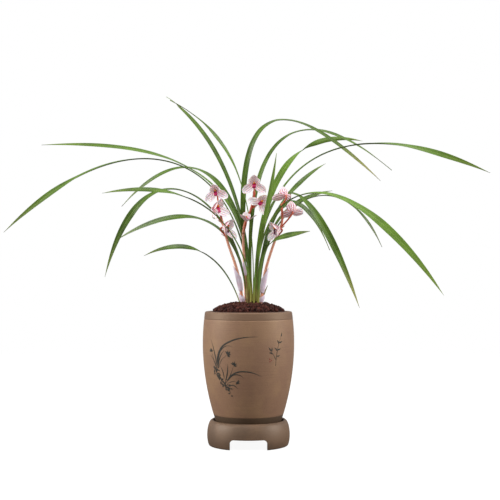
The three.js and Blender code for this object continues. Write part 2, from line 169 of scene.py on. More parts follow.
def turned(profile: np.ndarray, steps: int, loop: bool = False) -> Surface:
    """A body turned on the upright axis: each point of the profile (radius, height) goes round a circle."""
    angle = np.arange(steps) / steps * 2 * np.pi
    circle = np.stack([np.cos(angle), np.sin(angle)], axis=-1)
    level = profile[:, None, 1:] * np.ones((1, steps, 1))
    rings = np.concatenate([profile[:, None, :1] * circle[None], level], axis=-1)
    along = np.linspace(0, 1, len(profile))[:, None] * np.ones((1, steps))
    uv = np.stack([0.5 + 0.5 * np.cos(angle)[None] * np.ones_like(along), along], axis=-1)
    return skin(rings, uv, loop)


def tube(path: np.ndarray, radius: np.ndarray, sides: int, across: tuple[float, float, float]) -> Surface:
    """A round tube with closed ends: a circle of each station's radius square to the path there.

    Args:
        path: evenly spaced points.
        radius: the radius at each point.
        sides: points round each circle.
        across: a direction that the path never runs along. Each circle starts from it.

    Returns:
        The surface, with UV y along the path and UV x from one flank to the other.
    """
    along = unit(np.gradient(path, axis=0))
    first = unit(np.cross(np.cross(along, np.array(across, float)), along))
    second = np.cross(along, first)
    angle = np.arange(sides) / sides * 2 * np.pi
    spoke = first[:, None] * np.cos(angle)[None, :, None] + second[:, None] * np.sin(angle)[None, :, None]
    rings = path[:, None] + spoke * radius[:, None, None]
    share = np.linspace(0, 1, len(path))[:, None] * np.ones((1, sides))
    return skin(rings, np.stack([0.5 + 0.5 * np.cos(angle)[None] * np.ones_like(share), share], axis=-1))


@dataclass
class Blade:
    """A blade's line from foot to tip: its middle, half its width, and the ways its edge and face point."""

    middle: np.ndarray
    half: np.ndarray
    side: np.ndarray
    face: np.ndarray

    def surface(self, rise: Any, thick: Any, across: int) -> Surface:
        """A thin skin over and under the blade.

        A point at v, from 1 at the right edge to -1 at the left, stands v half-widths to the side and
        rise(u, v) off the middle, and the upper and lower faces stand thick(u, v) apart, coming together at
        v = 1 and -1.

        Args:
            rise: millimetres that the blade stands off its middle, from u along it and v across it.
            thick: its thickness in millimetres, from the same.
            across: points from edge to edge.

        Returns:
            The surface, with UV x across, UV y along, and a mark "under" that is 1 on the lower face.
        """
        top = np.cos(np.linspace(0, np.pi, across))
        v = np.concatenate([top, top[-2:0:-1]])[None]
        under = np.concatenate([np.zeros(across), np.ones(across - 2)])[None]
        u = np.linspace(0, 1, len(self.middle))[:, None]
        lift = rise(u, v) + (0.5 - under) * thick(u, v) * np.sqrt(1 - v**2)
        rings = self.middle[:, None] + self.side[:, None] * (self.half[:, None] * v)[..., None]
        rings = rings + self.face[:, None] * lift[..., None]
        uv = np.stack(np.broadcast_arrays(0.5 + 0.5 * v, u), axis=-1)
        marks = np.append((under * np.ones_like(u)).ravel(), [0, 0])
        return skin(rings, uv).marked(under=marks)


def cad_blade(node: str, stations: int, buried: float) -> Blade:
    """Reads the line of a blade from its CAD node.

    The node is a tip point, the farthest from the pot's axis, and rings of four: two edges, and two ridges
    that lie closest together. The rings are the points one, two, three and more edges away from the tip.

    Args:
        node: the CAD node.
        stations: how many stations the finer blade gets.
        buried: how far the blade goes on below the node's foot, as a share of the node's own ring spacing.

    Returns:
        The blade, foot first.
    """
    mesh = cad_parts[node].data
    corners = np.empty(len(mesh.vertices) * 3)
    mesh.vertices.foreach_get("co", corners)
    loops = np.empty(len(mesh.loops), int)
    mesh.loops.foreach_get("vertex_index", loops)
    points, where = np.unique(np.round(corners.reshape(-1, 3) / MM, 3), axis=0, return_inverse=True)
    corner = where.reshape(-1)[loops].reshape(-1, 3)
    near = np.zeros((len(points), len(points)), bool)
    near[corner, np.roll(corner, 1, axis=1)] = True
    near |= near.T
    reached = np.hypot(points[:, 0], points[:, 1]) == np.hypot(points[:, 0], points[:, 1]).max()
    steps = np.zeros(len(points), int)
    while not reached.all():
        fresh = near[reached].any(axis=0) & ~reached
        steps[fresh] = steps.max() + 1
        reached |= fresh
    rings = points[np.argsort(steps, kind="stable")[1:].reshape(-1, 4)[::-1]]
    pairs = np.array([[0, 1], [0, 2], [0, 3], [1, 2], [1, 3], [2, 3]])
    apart = np.linalg.norm(rings[:, pairs[:, 0]] - rings[:, pairs[:, 1]], axis=-1)
    closest = np.argmin(apart, axis=1)
    row = np.arange(len(rings))[:, None]
    ridges, edges = rings[row, pairs[closest]], rings[row, pairs[5 - closest]]
    middle = np.vstack([ridges.mean(axis=1), points[steps == 0]])
    along = np.gradient(middle, axis=0)[:-1]
    face = unit(ridges[:, 0] - ridges[:, 1])
    face *= np.sign(np.sum(face * (edges.mean(axis=1) - ridges.mean(axis=1)), axis=1, keepdims=True))
    side = unit(edges[:, 0] - edges[:, 1])
    side *= np.sign(np.sum(side * np.cross(face, along), axis=1, keepdims=True))
    half = np.append(np.linalg.norm(edges[:, 0] - edges[:, 1], axis=1) / 2, 0)
    rows = np.column_stack([middle, half, np.vstack([side, side[-1:]]), np.vstack([face, face[-1:]])])
    below = rows[:1].copy()
    below[:, :3] = 2 * rows[0, :3] - rows[1, :3]
    fine = smooth_read(np.vstack([below, rows]), np.linspace(1 - buried, len(rows), stations))
    return Blade(fine[:, :3], np.maximum(fine[:, 3], 0.12), unit(fine[:, 4:7]), unit(fine[:, 7:]))


# ---- Putting surfaces into the scene ----
def into_mesh(name: str, surface: Surface) -> bpy.types.Mesh:
    """A smooth-shaded mesh of a surface in metres, with its UV map and marks."""
    mesh = bpy.data.meshes.new(name)
    corners = np.concatenate([f.ravel() for f in surface.faces]).astype(np.int32)
    sizes = np.concatenate([np.full(len(f), f.shape[1]) for f in surface.faces])
    starts = (np.cumsum(sizes) - sizes).astype(np.int32)
    mesh.vertices.add(len(surface.points))
    mesh.vertices.foreach_set("co", (surface.points * MM).astype(np.float32).ravel())
    mesh.loops.add(len(corners))
    mesh.loops.foreach_set("vertex_index", corners)
    mesh.polygons.add(len(sizes))
    mesh.polygons.foreach_set("loop_start", starts)
    mesh.update(calc_edges=True)
    mesh.polygons.foreach_set("use_smooth", np.ones(len(sizes), bool))
    mesh.uv_layers.new(name="UVMap").uv.foreach_set("vector", surface.uv[corners].astype(np.float32).ravel())
    for mark, values in surface.marks.items():
        mesh.attributes.new(mark, "FLOAT", "POINT").data.foreach_set("value", values.astype(np.float32))
    mesh.validate()
    return mesh


def put_in(name: str, surface: Surface, finish: "Finish", slot: str, *nodes: str) -> bpy.types.Object:
    """Makes a surface a piece of the object.

    Args:
        name: the piece's name.
        surface: its skin.
        finish: what it is covered in.
        slot: the record's material slot; not used.
        nodes: the CAD nodes that it stands for.

    Returns:
        The new object, riding on the frame.
    """
    piece = bpy.data.objects.new(name, into_mesh(name, surface))
    bpy.context.scene.collection.objects.link(piece)
    piece.data.materials.append(finish.material())
    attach(piece, "root")
    if nodes:
        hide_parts(*nodes)
    LOG.info("%s: %d points", name, len(surface.points))
    return piece


# ---- Finishes ----
def shade(code: str) -> Colour:
    """A display colour such as "8a6a50" as linear red, green, blue and a full alpha."""
    part = np.array([int(code[i:i + 2], 16) for i in (0, 2, 4)]) / 255
    linear = np.where(part <= 0.04045, part / 12.92, ((part + 0.055) / 1.055) ** 2.4)
    return (float(linear[0]), float(linear[1]), float(linear[2]), 1.0)


class Graph:
    """Adds nodes to one node tree and joins them."""

    def __init__(self, tree: bpy.types.NodeTree) -> None:
        """Works on the given node tree."""
        self.tree = tree

    def add(self, kind: str, inputs: dict[Any, Any] | None = None, **settings: Any) -> bpy.types.Node:
        """Adds a node.

        Args:
            kind: the node's type.
            inputs: values or sockets by the name or number of the input that they go to.
            settings: the node's own properties.

        Returns:
            The node.
        """
        node = self.tree.nodes.new(kind)
        for name, value in settings.items():
            setattr(node, name, value)
        for key, value in (inputs or {}).items():
            self.feed(node.inputs[key], value)
        return node

    def feed(self, socket: bpy.types.NodeSocket, value: Any) -> None:
        """Links a socket to the input, or sets the input to a plain value."""
        if isinstance(value, bpy.types.NodeSocket):
            self.tree.links.new(value, socket)
        else:
            socket.default_value = value

    def sum(self, operation: str, *values: Any) -> bpy.types.NodeSocket:
        """One step of arithmetic, such as ADD or MULTIPLY, on numbers or sockets."""
        return self.add("ShaderNodeMath", dict(enumerate(values)), operation=operation).outputs[0]

    def mix(self, share: Any, low: Any, high: Any) -> bpy.types.NodeSocket:
        """The colour low where share is 0 and high where it is 1."""
        return self.add("ShaderNodeMix", {0: share, 6: low, 7: high}, data_type="RGBA").outputs[2]

    def step(self, value: Any, low: float, high: float, start: float = 0,
             end: float = 1) -> bpy.types.NodeSocket:
        """Goes smoothly from start to end as value goes from low to high."""
        inputs = {"Value": value, "From Min": low, "From Max": high, "To Min": start, "To Max": end}
        return self.add("ShaderNodeMapRange", inputs, interpolation_type="SMOOTHSTEP").outputs[0]

    def noise(self, vector: Any, scale: float, detail: float = 2,
              distortion: float = 0) -> bpy.types.NodeSocket:
        """Cloudy noise from 0 to 1."""
        inputs = {"Vector": vector, "Scale": scale, "Detail": detail, "Distortion": distortion}
        return self.add("ShaderNodeTexNoise", inputs).outputs[0]

    def stretched(self, vector: Any, scale: tuple[float, float, float]) -> bpy.types.NodeSocket:
        """The vector with each of its parts scaled."""
        inputs = {0: vector, 1: scale}
        return self.add("ShaderNodeVectorMath", inputs, operation="MULTIPLY").outputs[0]

    def millimetres(self) -> bpy.types.NodeSocket:
        """Object coordinates in millimetres."""
        place = self.add("ShaderNodeTexCoord").outputs["Object"]
        return self.stretched(place, (1000, 1000, 1000))

    def height(self) -> bpy.types.NodeSocket:
        """Millimetres above the ground."""
        return self.add("ShaderNodeSeparateXYZ", {0: self.millimetres()}).outputs["Z"]

    def across_and_along(self) -> tuple[bpy.types.NodeSocket, bpy.types.NodeSocket]:
        """The piece's UV x, which runs across it, and UV y, which runs along it."""
        split = self.add("ShaderNodeSeparateXYZ", {0: self.add("ShaderNodeTexCoord").outputs["UV"]})
        return split.outputs["X"], split.outputs["Y"]

    def mark(self, name: str) -> bpy.types.NodeSocket:
        """A value that the surface carries from point to point."""
        return self.add("ShaderNodeAttribute", attribute_name=name).outputs["Fac"]

    def effect(self, tree: bpy.types.NodeTree, **inputs: Any) -> dict[str, bpy.types.NodeSocket]:
        """Places a shared effect with its own values and gives its outputs by name."""
        node = self.add("ShaderNodeGroup", node_tree=tree)
        for name, value in inputs.items():
            self.feed(node.inputs[name], value)
        return {socket.name: socket for socket in node.outputs}

    def bump(self, height: Any, distance: float, strength: float = 1.0) -> bpy.types.NodeSocket:
        """A normal bent by a height from 0 to 1 that stands for distance in millimetres."""
        inputs = {"Height": height, "Distance": distance * MM, "Strength": strength}
        return self.add("ShaderNodeBump", inputs).outputs[0]


class Effect(Enum):
    """The effects that several materials share. Each is a node group that is built once."""

    MOTTLE = "mottle"
    VEINS = "veins"
    BAND = "band"

    def tree(self) -> bpy.types.NodeTree:
        """The effect's node group, built when it is first asked for."""
        found = bpy.data.node_groups.get(self.value)
        if found:
            return found
        return {Effect.MOTTLE: self.mottle, Effect.VEINS: self.veins, Effect.BAND: self.band}[self]()

    def start(self, inputs: dict[str, str], outputs: list[str]) -> tuple[Graph, Any, Any]:
        """Opens a new group with these inputs, each with its kind, and number outputs."""
        tree = bpy.data.node_groups.new(self.value, "ShaderNodeTree")
        for name, kind in inputs.items():
            tree.interface.new_socket(name=name, in_out="INPUT", socket_type=f"NodeSocket{kind}")
        for name in outputs:
            tree.interface.new_socket(name=name, in_out="OUTPUT", socket_type="NodeSocketFloat")
        graph = Graph(tree)
        return graph, graph.add("NodeGroupInput").outputs, graph.add("NodeGroupOutput").inputs

    def mottle(self) -> bpy.types.NodeTree:
        """Soft patches and fine grain, each as noise of its own scale, from 0 to 1."""
        graph, given, out = self.start({"Place": "Vector", "Patch": "Float", "Grain": "Float"},
                                       ["Patches", "Grains"])
        patches = graph.noise(given["Place"], given["Patch"], 3, 0.4)
        grains = graph.noise(given["Place"], given["Grain"], 2)
        graph.feed(out["Patches"], graph.step(patches, 0.3, 0.7))
        graph.feed(out["Grains"], graph.step(grains, 0.35, 0.65))
        return graph.tree

    def veins(self) -> bpy.types.NodeTree:
        """Lines that run along a blade: a sine of the place across, which wanders a little, and a midrib."""
        graph, given, out = self.start({"Across": "Float", "Along": "Float", "Count": "Float",
                                        "Wander": "Float"},
                                       ["Lines", "Midrib"])
        place = graph.add("ShaderNodeCombineXYZ", {"X": given["Across"], "Y": given["Along"]}).outputs[0]
        drift = graph.sum("SUBTRACT", graph.noise(place, 3.0), 0.5)
        across = graph.sum("MULTIPLY_ADD", drift, given["Wander"], given["Across"])
        turn = graph.sum("MULTIPLY", graph.sum("MULTIPLY", across, given["Count"]), 2 * math.pi)
        wave = graph.sum("MULTIPLY_ADD", graph.sum("COSINE", turn), 0.5, 0.5)
        graph.feed(out["Lines"], graph.step(wave, 0.35, 1.0))
        off = graph.sum("ABSOLUTE", graph.sum("SUBTRACT", given["Across"], 0.5))
        graph.feed(out["Midrib"], graph.step(off, 0.0, 0.07, 1, 0))
        return graph.tree

    def band(self) -> bpy.types.NodeTree:
        """1 between two values and 0 outside them, with an edge of the given softness."""
        graph, given, out = self.start({"Value": "Float", "Low": "Float", "High": "Float", "Soft": "Float"},
                                       ["Mask"])
        above = graph.sum("DIVIDE", graph.sum("SUBTRACT", given["Value"], given["Low"]), given["Soft"])
        below = graph.sum("DIVIDE", graph.sum("SUBTRACT", given["High"], given["Value"]), given["Soft"])
        inside = graph.sum("MINIMUM", above, below)
        graph.feed(out["Mask"], graph.step(inside, -1, 1))
        return graph.tree


@dataclass(frozen=True)
class Finish:
    """What a piece is covered in. Each kind paints its own shader."""

    name: str

    def material(self) -> bpy.types.Material:
        """The finish's material, made when it is first asked for."""
        name = f"{self.name}_finish"
        found = bpy.data.materials.get(name)
        if found:
            return found
        material = bpy.data.materials.new(name)
        material.use_nodes = True
        material.node_tree.nodes.clear()
        graph = Graph(material.node_tree)
        shader = graph.add("ShaderNodeBsdfPrincipled")
        graph.add("ShaderNodeOutputMaterial", {"Surface": shader.outputs[0]})
        self.paint(graph, shader.inputs)
        return material

    def paint(self, graph: Graph, shader: Any) -> None:
        """Feeds the shader's inputs."""
        raise NotImplementedError


@dataclass(frozen=True)
class Clay(Finish):
    """Unglazed stoneware: fine grain, faint turning lines, soft patches, and two smoother bands by height: a
    burnished rim band, and a foot band whose dark colour is painted shade.
    """

    body: Colour = shade("8a6853")
    light: Colour = shade("977559")
    burnished: Colour = shade("6c5242")
    # Painted shade: the dark colour of the foot band.
    shaded_foot_band: Colour = shade("3b2d22")
    fleck: Colour = shade("573d2f")
    sheen: Colour = (1.0, 0.8, 0.56, 1.0)
    rim_from: float = 1000.0
    foot_shade_to: float = -1000.0
    rough: float = 0.47
    gloss: float = 0.8

    def paint(self, graph: Graph, shader: Any) -> None:
        """Patches between two browns, dark flecks, lines round the axis, and the two bands, the foot band's
        dark colour being painted shade.
        """
        place, level = graph.millimetres(), graph.height()
        mottle = graph.effect(Effect.MOTTLE.tree(), Place=place, Patch=0.022, Grain=1.4)
        lines = graph.noise(graph.stretched(place, (0.02, 0.02, 1.1)), 1.0, 3)
        flecks = graph.step(graph.noise(place, 0.9, 1), 0.66, 0.74)
        colour = graph.mix(mottle["Patches"], self.body, self.light)
        colour = graph.mix(graph.step(lines, 0.45, 0.75, 0, 0.28), colour, self.burnished)
        colour = graph.mix(graph.sum("MULTIPLY", mottle["Grains"], 0.22), colour, self.fleck)
        colour = graph.mix(graph.sum("MULTIPLY", flecks, 0.45), colour, self.fleck)
        rim = graph.effect(Effect.BAND.tree(), Value=level, Low=self.rim_from, High=2000.0, Soft=0.35)["Mask"]
        # The foot band is painted shade: the pot's foot is darkened as it would be in the shade down inside the
        # saucer.
        foot = graph.effect(Effect.BAND.tree(), Value=level, Low=-2000.0, High=self.foot_shade_to, Soft=0.5)["Mask"]
        colour = graph.mix(graph.sum("MULTIPLY", rim, 0.82), colour, self.burnished)
        colour = graph.mix(graph.sum("MULTIPLY", foot, 0.9), colour, self.shaded_foot_band)
        graph.feed(shader["Base Color"], colour)
        smooth = graph.sum("MAXIMUM", rim, foot)
        rough = graph.sum("MULTIPLY_ADD", mottle["Grains"], 0.12, self.rough)
        graph.feed(shader["Roughness"], graph.sum("MULTIPLY_ADD", smooth, 0.02, rough))
        height = graph.sum("MULTIPLY_ADD", lines, 0.6, graph.sum("MULTIPLY", mottle["Grains"], 0.4))
        graph.feed(shader["Normal"], graph.bump(height, 0.16, 0.8))
        shader["Specular IOR Level"].default_value = self.gloss
        shader["Specular Tint"].default_value = self.sheen


@dataclass(frozen=True)
class Granules(Finish):
    """Damp bark and fired clay granules: red-brown, darker low down, with pale dusty crowns."""

    dark: Colour = shade("1f0b05")
    warm: Colour = shade("57261a")
    pale: Colour = shade("7a4436")

    def paint(self, graph: Graph, shader: Any) -> None:
        """Each granule's own tone, broken by patches and grain."""
        mottle = graph.effect(Effect.MOTTLE.tree(), Place=graph.millimetres(), Patch=0.35, Grain=2.2)
        tone = graph.mark("tone")
        share = graph.sum("MULTIPLY_ADD", mottle["Patches"], 0.45, graph.sum("MULTIPLY", tone, 0.65))
        colour = graph.mix(share, self.dark, self.warm)
        crown = graph.sum("MULTIPLY", graph.step(tone, 0.8, 1.0), mottle["Grains"])
        graph.feed(shader["Base Color"], graph.mix(crown, colour, self.pale))
        graph.feed(shader["Roughness"], graph.sum("MULTIPLY_ADD", mottle["Grains"], 0.25, 0.6))
        graph.feed(shader["Normal"], graph.bump(mottle["Grains"], 0.35))
        shader["Specular IOR Level"].default_value = 0.25


@dataclass(frozen=True)
class LeafSkin(Finish):
    """A strap leaf: parallel veins, a pale midrib, a greyer underside, a yellow foot and a drying tip."""

    deep: Colour = shade("2a4208")
    fresh: Colour = shade("6f9628")
    underside: Colour = shade("71903f")
    rib: Colour = shade("93ad58")
    foot: Colour = shade("a59a4a")
    dry: Colour = shade("a8a052")

    def paint(self, graph: Graph, shader: Any) -> None:
        """The leaf's tone between deep and fresh green, then veins, midrib, foot and tip over it."""
        across, along = graph.across_and_along()
        under = graph.mark("under")
        mottle = graph.effect(Effect.MOTTLE.tree(), Place=graph.millimetres(), Patch=0.03, Grain=0.8)
        veins = graph.effect(Effect.VEINS.tree(), Across=across, Along=along, Count=11.0, Wander=0.02)
        uneven = graph.sum("SUBTRACT", mottle["Patches"], 0.5)
        tone = graph.sum("MULTIPLY_ADD", uneven, 0.28, graph.mark("tone"))
        colour = graph.mix(tone, self.deep, self.fresh)
        colour = graph.mix(graph.sum("MULTIPLY", under, 0.5), colour, self.underside)
        colour = graph.mix(graph.sum("MULTIPLY", veins["Lines"], 0.16), colour, self.rib)
        colour = graph.mix(graph.sum("MULTIPLY", veins["Midrib"], 0.4), colour, self.rib)
        foot = graph.step(along, 0.02, 0.16, 0.75, 0)
        colour = graph.mix(foot, colour, self.foot)
        tip = graph.sum("MULTIPLY", graph.step(along, 0.8, 1.0), graph.mark("dry"))
        colour = graph.mix(tip, colour, self.dry)
        graph.feed(shader["Base Color"], colour)
        rough = graph.sum("MULTIPLY_ADD", under, 0.18, 0.36)
        graph.feed(shader["Roughness"], graph.sum("MULTIPLY_ADD", mottle["Grains"], 0.1, rough))
        height = graph.sum("SUBTRACT", graph.sum("MULTIPLY", veins["Lines"], 0.5), veins["Midrib"])
        graph.feed(shader["Normal"], graph.bump(height, 0.14, 0.4))
        shader["Specular IOR Level"].default_value = 0.3
        shader["Subsurface Weight"].default_value = 0.06
        shader["Subsurface Radius"].default_value = (0.6, 1.0, 0.3)
        shader["Subsurface Scale"].default_value = 0.0006


@dataclass(frozen=True)
class StemSkin(Finish):
    """A fleshy stem: salmon below and redder by the flowers, with fine streaks."""

    pale: Colour = shade("f3c0a4")
    salmon: Colour = shade("ea9c7c")
    red: Colour = shade("c04a2c")

    def paint(self, graph: Graph, shader: Any) -> None:
        """Streaks of two salmons, turning red as the mark "blush" rises."""
        place = graph.millimetres()
        mottle = graph.effect(Effect.MOTTLE.tree(), Place=place, Patch=0.12, Grain=1.6)
        streaks = graph.noise(graph.stretched(place, (1.2, 1.2, 0.08)), 1.0, 2)
        colour = graph.mix(graph.step(streaks, 0.35, 0.65), self.pale, self.salmon)
        blush = graph.sum("MULTIPLY_ADD", mottle["Patches"], 0.18, graph.mark("blush"))
        graph.feed(shader["Base Color"], graph.mix(blush, colour, self.red))
        graph.feed(shader["Roughness"], graph.sum("MULTIPLY_ADD", mottle["Grains"], 0.12, 0.4))
        graph.feed(shader["Normal"], graph.bump(streaks, 0.2))
        shader["Subsurface Weight"].default_value = 0.12
        shader["Subsurface Scale"].default_value = 0.001


@dataclass(frozen=True)
class PetalSkin(Finish):
    """A petal: near white, flushed at its root and on its back, with pink veins that show most on its back."""

    white: Colour = shade("f8f3f6")
    flush: Colour = shade("ecc6c8")
    vein: Colour = shade("b5566c")
    count: float = 4.0
    strength: float = 1.0
    # Strength of the painted glow that stands in for light shining through the petal.
    painted_glow: float = 0.12

    def paint(self, graph: Graph, shader: Any) -> None:
        """White to flush by place, then veins that fade towards the tip, and a painted glow of the same colour
        standing in for light through the petal.
        """
        across, along = graph.across_and_along()
        mottle = graph.effect(Effect.MOTTLE.tree(), Place=graph.millimetres(), Patch=0.09, Grain=1.8)
        veins = graph.effect(Effect.VEINS.tree(), Across=across, Along=along, Count=self.count, Wander=0.05)
        under = graph.mark("under")
        root = graph.step(along, 0.0, 0.5, 0.55, 0)
        share = graph.sum("MULTIPLY_ADD", mottle["Patches"], 0.3, root)
        share = graph.sum("MULTIPLY_ADD", under, 0.22, share)
        colour = graph.mix(share, self.white, self.flush)
        show = graph.sum("MULTIPLY_ADD", under, 0.5, 0.5)
        lines = graph.sum("MULTIPLY", veins["Lines"], graph.step(along, 0.7, 1.0, self.strength, 0.25))
        colour = graph.mix(graph.sum("MULTIPLY", lines, show), colour, self.vein)
        graph.feed(shader["Base Color"], colour)
        # A faint painted glow of the petal's own colour, standing in for light shining through it.
        graph.feed(shader["Emission Color"], colour)
        shader["Emission Strength"].default_value = self.painted_glow
        graph.feed(shader["Roughness"], graph.sum("MULTIPLY_ADD", mottle["Grains"], 0.12, 0.42))
        graph.feed(shader["Normal"], graph.bump(veins["Lines"], 0.12))
        shader["Subsurface Weight"].default_value = 0.18
        shader["Subsurface Scale"].default_value = 0.0012


@dataclass(frozen=True)
class LipSkin(Finish):
    """The tongue and column: white edges, magenta blotches down the tongue, and an orange cap."""

    white: Colour = shade("f6eef2")
    magenta: Colour = shade("c4125e")
    plum: Colour = shade("5c1038")
    cap: Colour = shade("ec8420")
    column: Colour = shade("eda552")

    def paint(self, graph: Graph, shader: Any) -> None:
        """Blotches where noise and the tongue's middle meet. "part" is 1 on the column and 2 on its cap."""
        across, along = graph.across_and_along()
        mottle = graph.effect(Effect.MOTTLE.tree(), Place=graph.millimetres(), Patch=0.5, Grain=2.0)
        part = graph.mark("part")
        off = graph.sum("ABSOLUTE", graph.sum("SUBTRACT", across, 0.5))
        middle = graph.sum("MULTIPLY_ADD", mottle["Patches"], 0.16, graph.sum("MULTIPLY", off, -1.0))
        inner = graph.step(middle, -0.42, -0.3)
        length = graph.effect(Effect.BAND.tree(), Value=along, Low=0.1, High=0.9, Soft=0.06)["Mask"]
        spot = graph.sum("MULTIPLY", inner, length)
        red = graph.mix(graph.mark("dark"), self.magenta, self.plum)
        tongue = graph.mix(spot, self.white, red)
        column = graph.mix(graph.step(mottle["Grains"], 0.6, 0.9, 0, 0.5), self.column, self.magenta)
        colour = graph.mix(graph.step(part, 0.4, 0.6), tongue, column)
        graph.feed(shader["Base Color"], graph.mix(graph.step(part, 1.4, 1.6), colour, self.cap))
        graph.feed(shader["Roughness"], graph.sum("MULTIPLY_ADD", mottle["Grains"], 0.12, 0.36))
        graph.feed(shader["Normal"], graph.bump(mottle["Grains"], 0.1))
        shader["Subsurface Weight"].default_value = 0.15
        shader["Subsurface Scale"].default_value = 0.001


@dataclass(frozen=True)
class Paper(Finish):
    """A thin dry sheath or scale: fibres along it, blotched between two colours, with a painted glow standing
    in for light through it where one is given.
    """

    pale: Colour = shade("e9e0ee")
    deep: Colour = shade("d9b8c2")
    fibre: Colour = shade("c6a7bd")
    count: float = 9.0
    # Strength of a painted glow standing in for light through the paper; none unless given.
    painted_glow: float = 0.0

    def paint(self, graph: Graph, shader: Any) -> None:
        """Two colours in patches, with fibres over them, a ragged relief, and a painted glow of their colour.
        """
        across, along = graph.across_and_along()
        mottle = graph.effect(Effect.MOTTLE.tree(), Place=graph.millimetres(), Patch=0.1, Grain=1.2)
        veins = graph.effect(Effect.VEINS.tree(), Across=across, Along=along, Count=self.count, Wander=0.08)
        share = graph.sum("MULTIPLY_ADD", mottle["Patches"], 0.5, graph.step(along, 0.0, 1.0, 0.45, 0.0))
        colour = graph.mix(share, self.pale, self.deep)
        colour = graph.mix(graph.sum("MULTIPLY", veins["Lines"], 0.4), colour, self.fibre)
        graph.feed(shader["Base Color"], colour)
        # A painted glow of the paper's own colour, standing in for light shining through it.
        graph.feed(shader["Emission Color"], colour)
        shader["Emission Strength"].default_value = self.painted_glow
        graph.feed(shader["Roughness"], graph.sum("MULTIPLY_ADD", mottle["Grains"], 0.2, 0.5))
        graph.feed(shader["Normal"], graph.bump(veins["Lines"], 0.18))


@dataclass(frozen=True)
class Ink(Finish):
    """Pigment rubbed into a scratched line: one dark colour, worn thin in places."""

    dark: Colour = shade("1d1c14")
    worn: Colour = shade("4b4030")

    def paint(self, graph: Graph, shader: Any) -> None:
        """Dark, going to worn in grains."""
        mottle = graph.effect(Effect.MOTTLE.tree(), Place=graph.millimetres(), Patch=0.2, Grain=1.6)
        patchy = graph.sum("MULTIPLY_ADD", mottle["Patches"], 0.5, 0.2)
        share = graph.sum("MULTIPLY", mottle["Grains"], patchy)
        graph.feed(shader["Base Color"], graph.mix(share, self.dark, self.worn))
        graph.feed(shader["Roughness"], graph.sum("MULTIPLY_ADD", mottle["Grains"], 0.1, 0.6))
        graph.feed(shader["Normal"], graph.bump(mottle["Grains"], 0.1))


@dataclass(frozen=True)
class StudioFloor(Finish):
    """A pale floor that keeps its shadows faint and fades out into the backdrop."""

    pale: Colour = (0.93, 0.93, 0.93, 1.0)
    shaded: Colour = (0.12, 0.12, 0.12, 1.0)
    bounce: Colour = (0.12, 0.115, 0.11, 1.0)
    solid_to: float = 700.0
    gone_at: float = 2400.0

    def paint(self, graph: Graph, shader: Any) -> None:
        """Plain pale, seen through more and more with distance from the middle."""
        seen = graph.add("ShaderNodeLightPath").outputs["Is Camera Ray"]
        graph.feed(shader["Base Color"], graph.mix(seen, self.bounce, self.shaded))
        graph.feed(shader["Emission Color"], graph.mix(seen, (0, 0, 0, 1), self.pale))
        shader["Emission Strength"].default_value = 1.0
        shader["Roughness"].default_value = 0.9
        shader["Specular IOR Level"].default_value = 0.1
        far = graph.add("ShaderNodeVectorMath", {0: graph.millimetres()}, operation="LENGTH").outputs["Value"]
        graph.feed(shader["Alpha"], graph.step(far, self.solid_to, self.gone_at, 1, 0))


# ---- Pot, saucer and potting mix ----
@dataclass
class Pot:
    """The barrel pot, turned, with a burnished rim band above a scored line and a foot band darkened with
    painted shade.
    """

    foot: float = 53.5
    bottom: float = 27.0
    belly: float = 82.0
    belly_level: float = 182.0
    shoulder: float = 78.5
    shoulder_level: float = 235.0
    rim: float = 238.0
    corner: float = 3.0
    lip: float = 66.0
    wall: float = 9.0
    floor: float = 38.0
    drain: float = 10.0
    rim_band: float = 224.5
    # Top of the foot band that is painted in shade.
    shaded_foot_band: float = 55.0
    steps: int = 192

    def outside(self) -> np.ndarray:
        """The outer profile, with a shallow scored line at the foot of the burnished rim band and one at the
        top of the foot band that is painted in shade.
        """
        levels = np.linspace(self.bottom, self.shoulder_level, 420)
        line = np.column_stack([self.radius(levels), levels])
        for level, depth in ((self.rim_band, 0.35), (self.shaded_foot_band, 0.3)):
            line[:, 0] -= depth * np.exp(-((line[:, 1] - level) / 0.7) ** 2)
        line[:, 0] -= 0.15 * fade(-line[:, 1], -self.shaded_foot_band, -self.shaded_foot_band + 1)
        return line

    def radius(self, level: np.ndarray) -> np.ndarray:
        """The outer radius at a height.

        r(z) = belly - (belly - end) * ((z - belly_level) / (end_level - belly_level))^2, where the end is the
        foot below the belly and the shoulder above it.
        """
        level = np.asarray(level, dtype=float)
        below = level < self.belly_level
        end = np.where(below, self.foot, self.shoulder)
        end_level = np.where(below, self.bottom, self.shoulder_level)
        share = (level - self.belly_level) / (end_level - self.belly_level)
        return self.belly - (self.belly - end) * share**2

    def inside(self) -> np.ndarray:
        """The profile of the hollow, from under the lip down to the floor."""
        levels = np.linspace(self.shoulder_level - 2, self.floor, 60)
        return np.column_stack([self.radius(levels) - self.wall, levels])

    def mouth(self) -> np.ndarray:
        """The rounded rim: a quarter circle outside, a flat top, and a quarter circle inside."""
        turn = np.linspace(0, np.pi / 2, 7)
        outer = self.shoulder - self.corner
        inner = self.lip + self.corner
        level = self.rim - self.corner
        round_out = np.column_stack([outer + self.corner * np.cos(turn), level + self.corner * np.sin(turn)])
        round_in = np.column_stack([inner - self.corner * np.sin(turn), level + self.corner * np.cos(turn)])
        return np.vstack([round_out[1:], round_in, [[self.lip, level - 4]]])

    def surface(self) -> Surface:
        """The pot's whole skin: outside, mouth, inside, drain hole and underside."""
        drain = [[self.drain, self.floor], [self.drain, self.bottom], [self.foot - 1.2, self.bottom],
                 [self.foot - 0.3, self.bottom + 0.3]]
        outside = self.outside()
        profile = np.vstack([outside[2:], self.mouth(), self.inside(), drain])
        return turned(profile, self.steps, loop=True)

    def build(self) -> None:
        """Puts the pot in."""
        # Below the foot band's top the clay is painted dark as shade.
        clay = Clay("pot_clay", rim_from=self.rim_band, foot_shade_to=self.shaded_foot_band)
        put_in("pot_body", self.surface(), clay, "pot_clay", "pot")


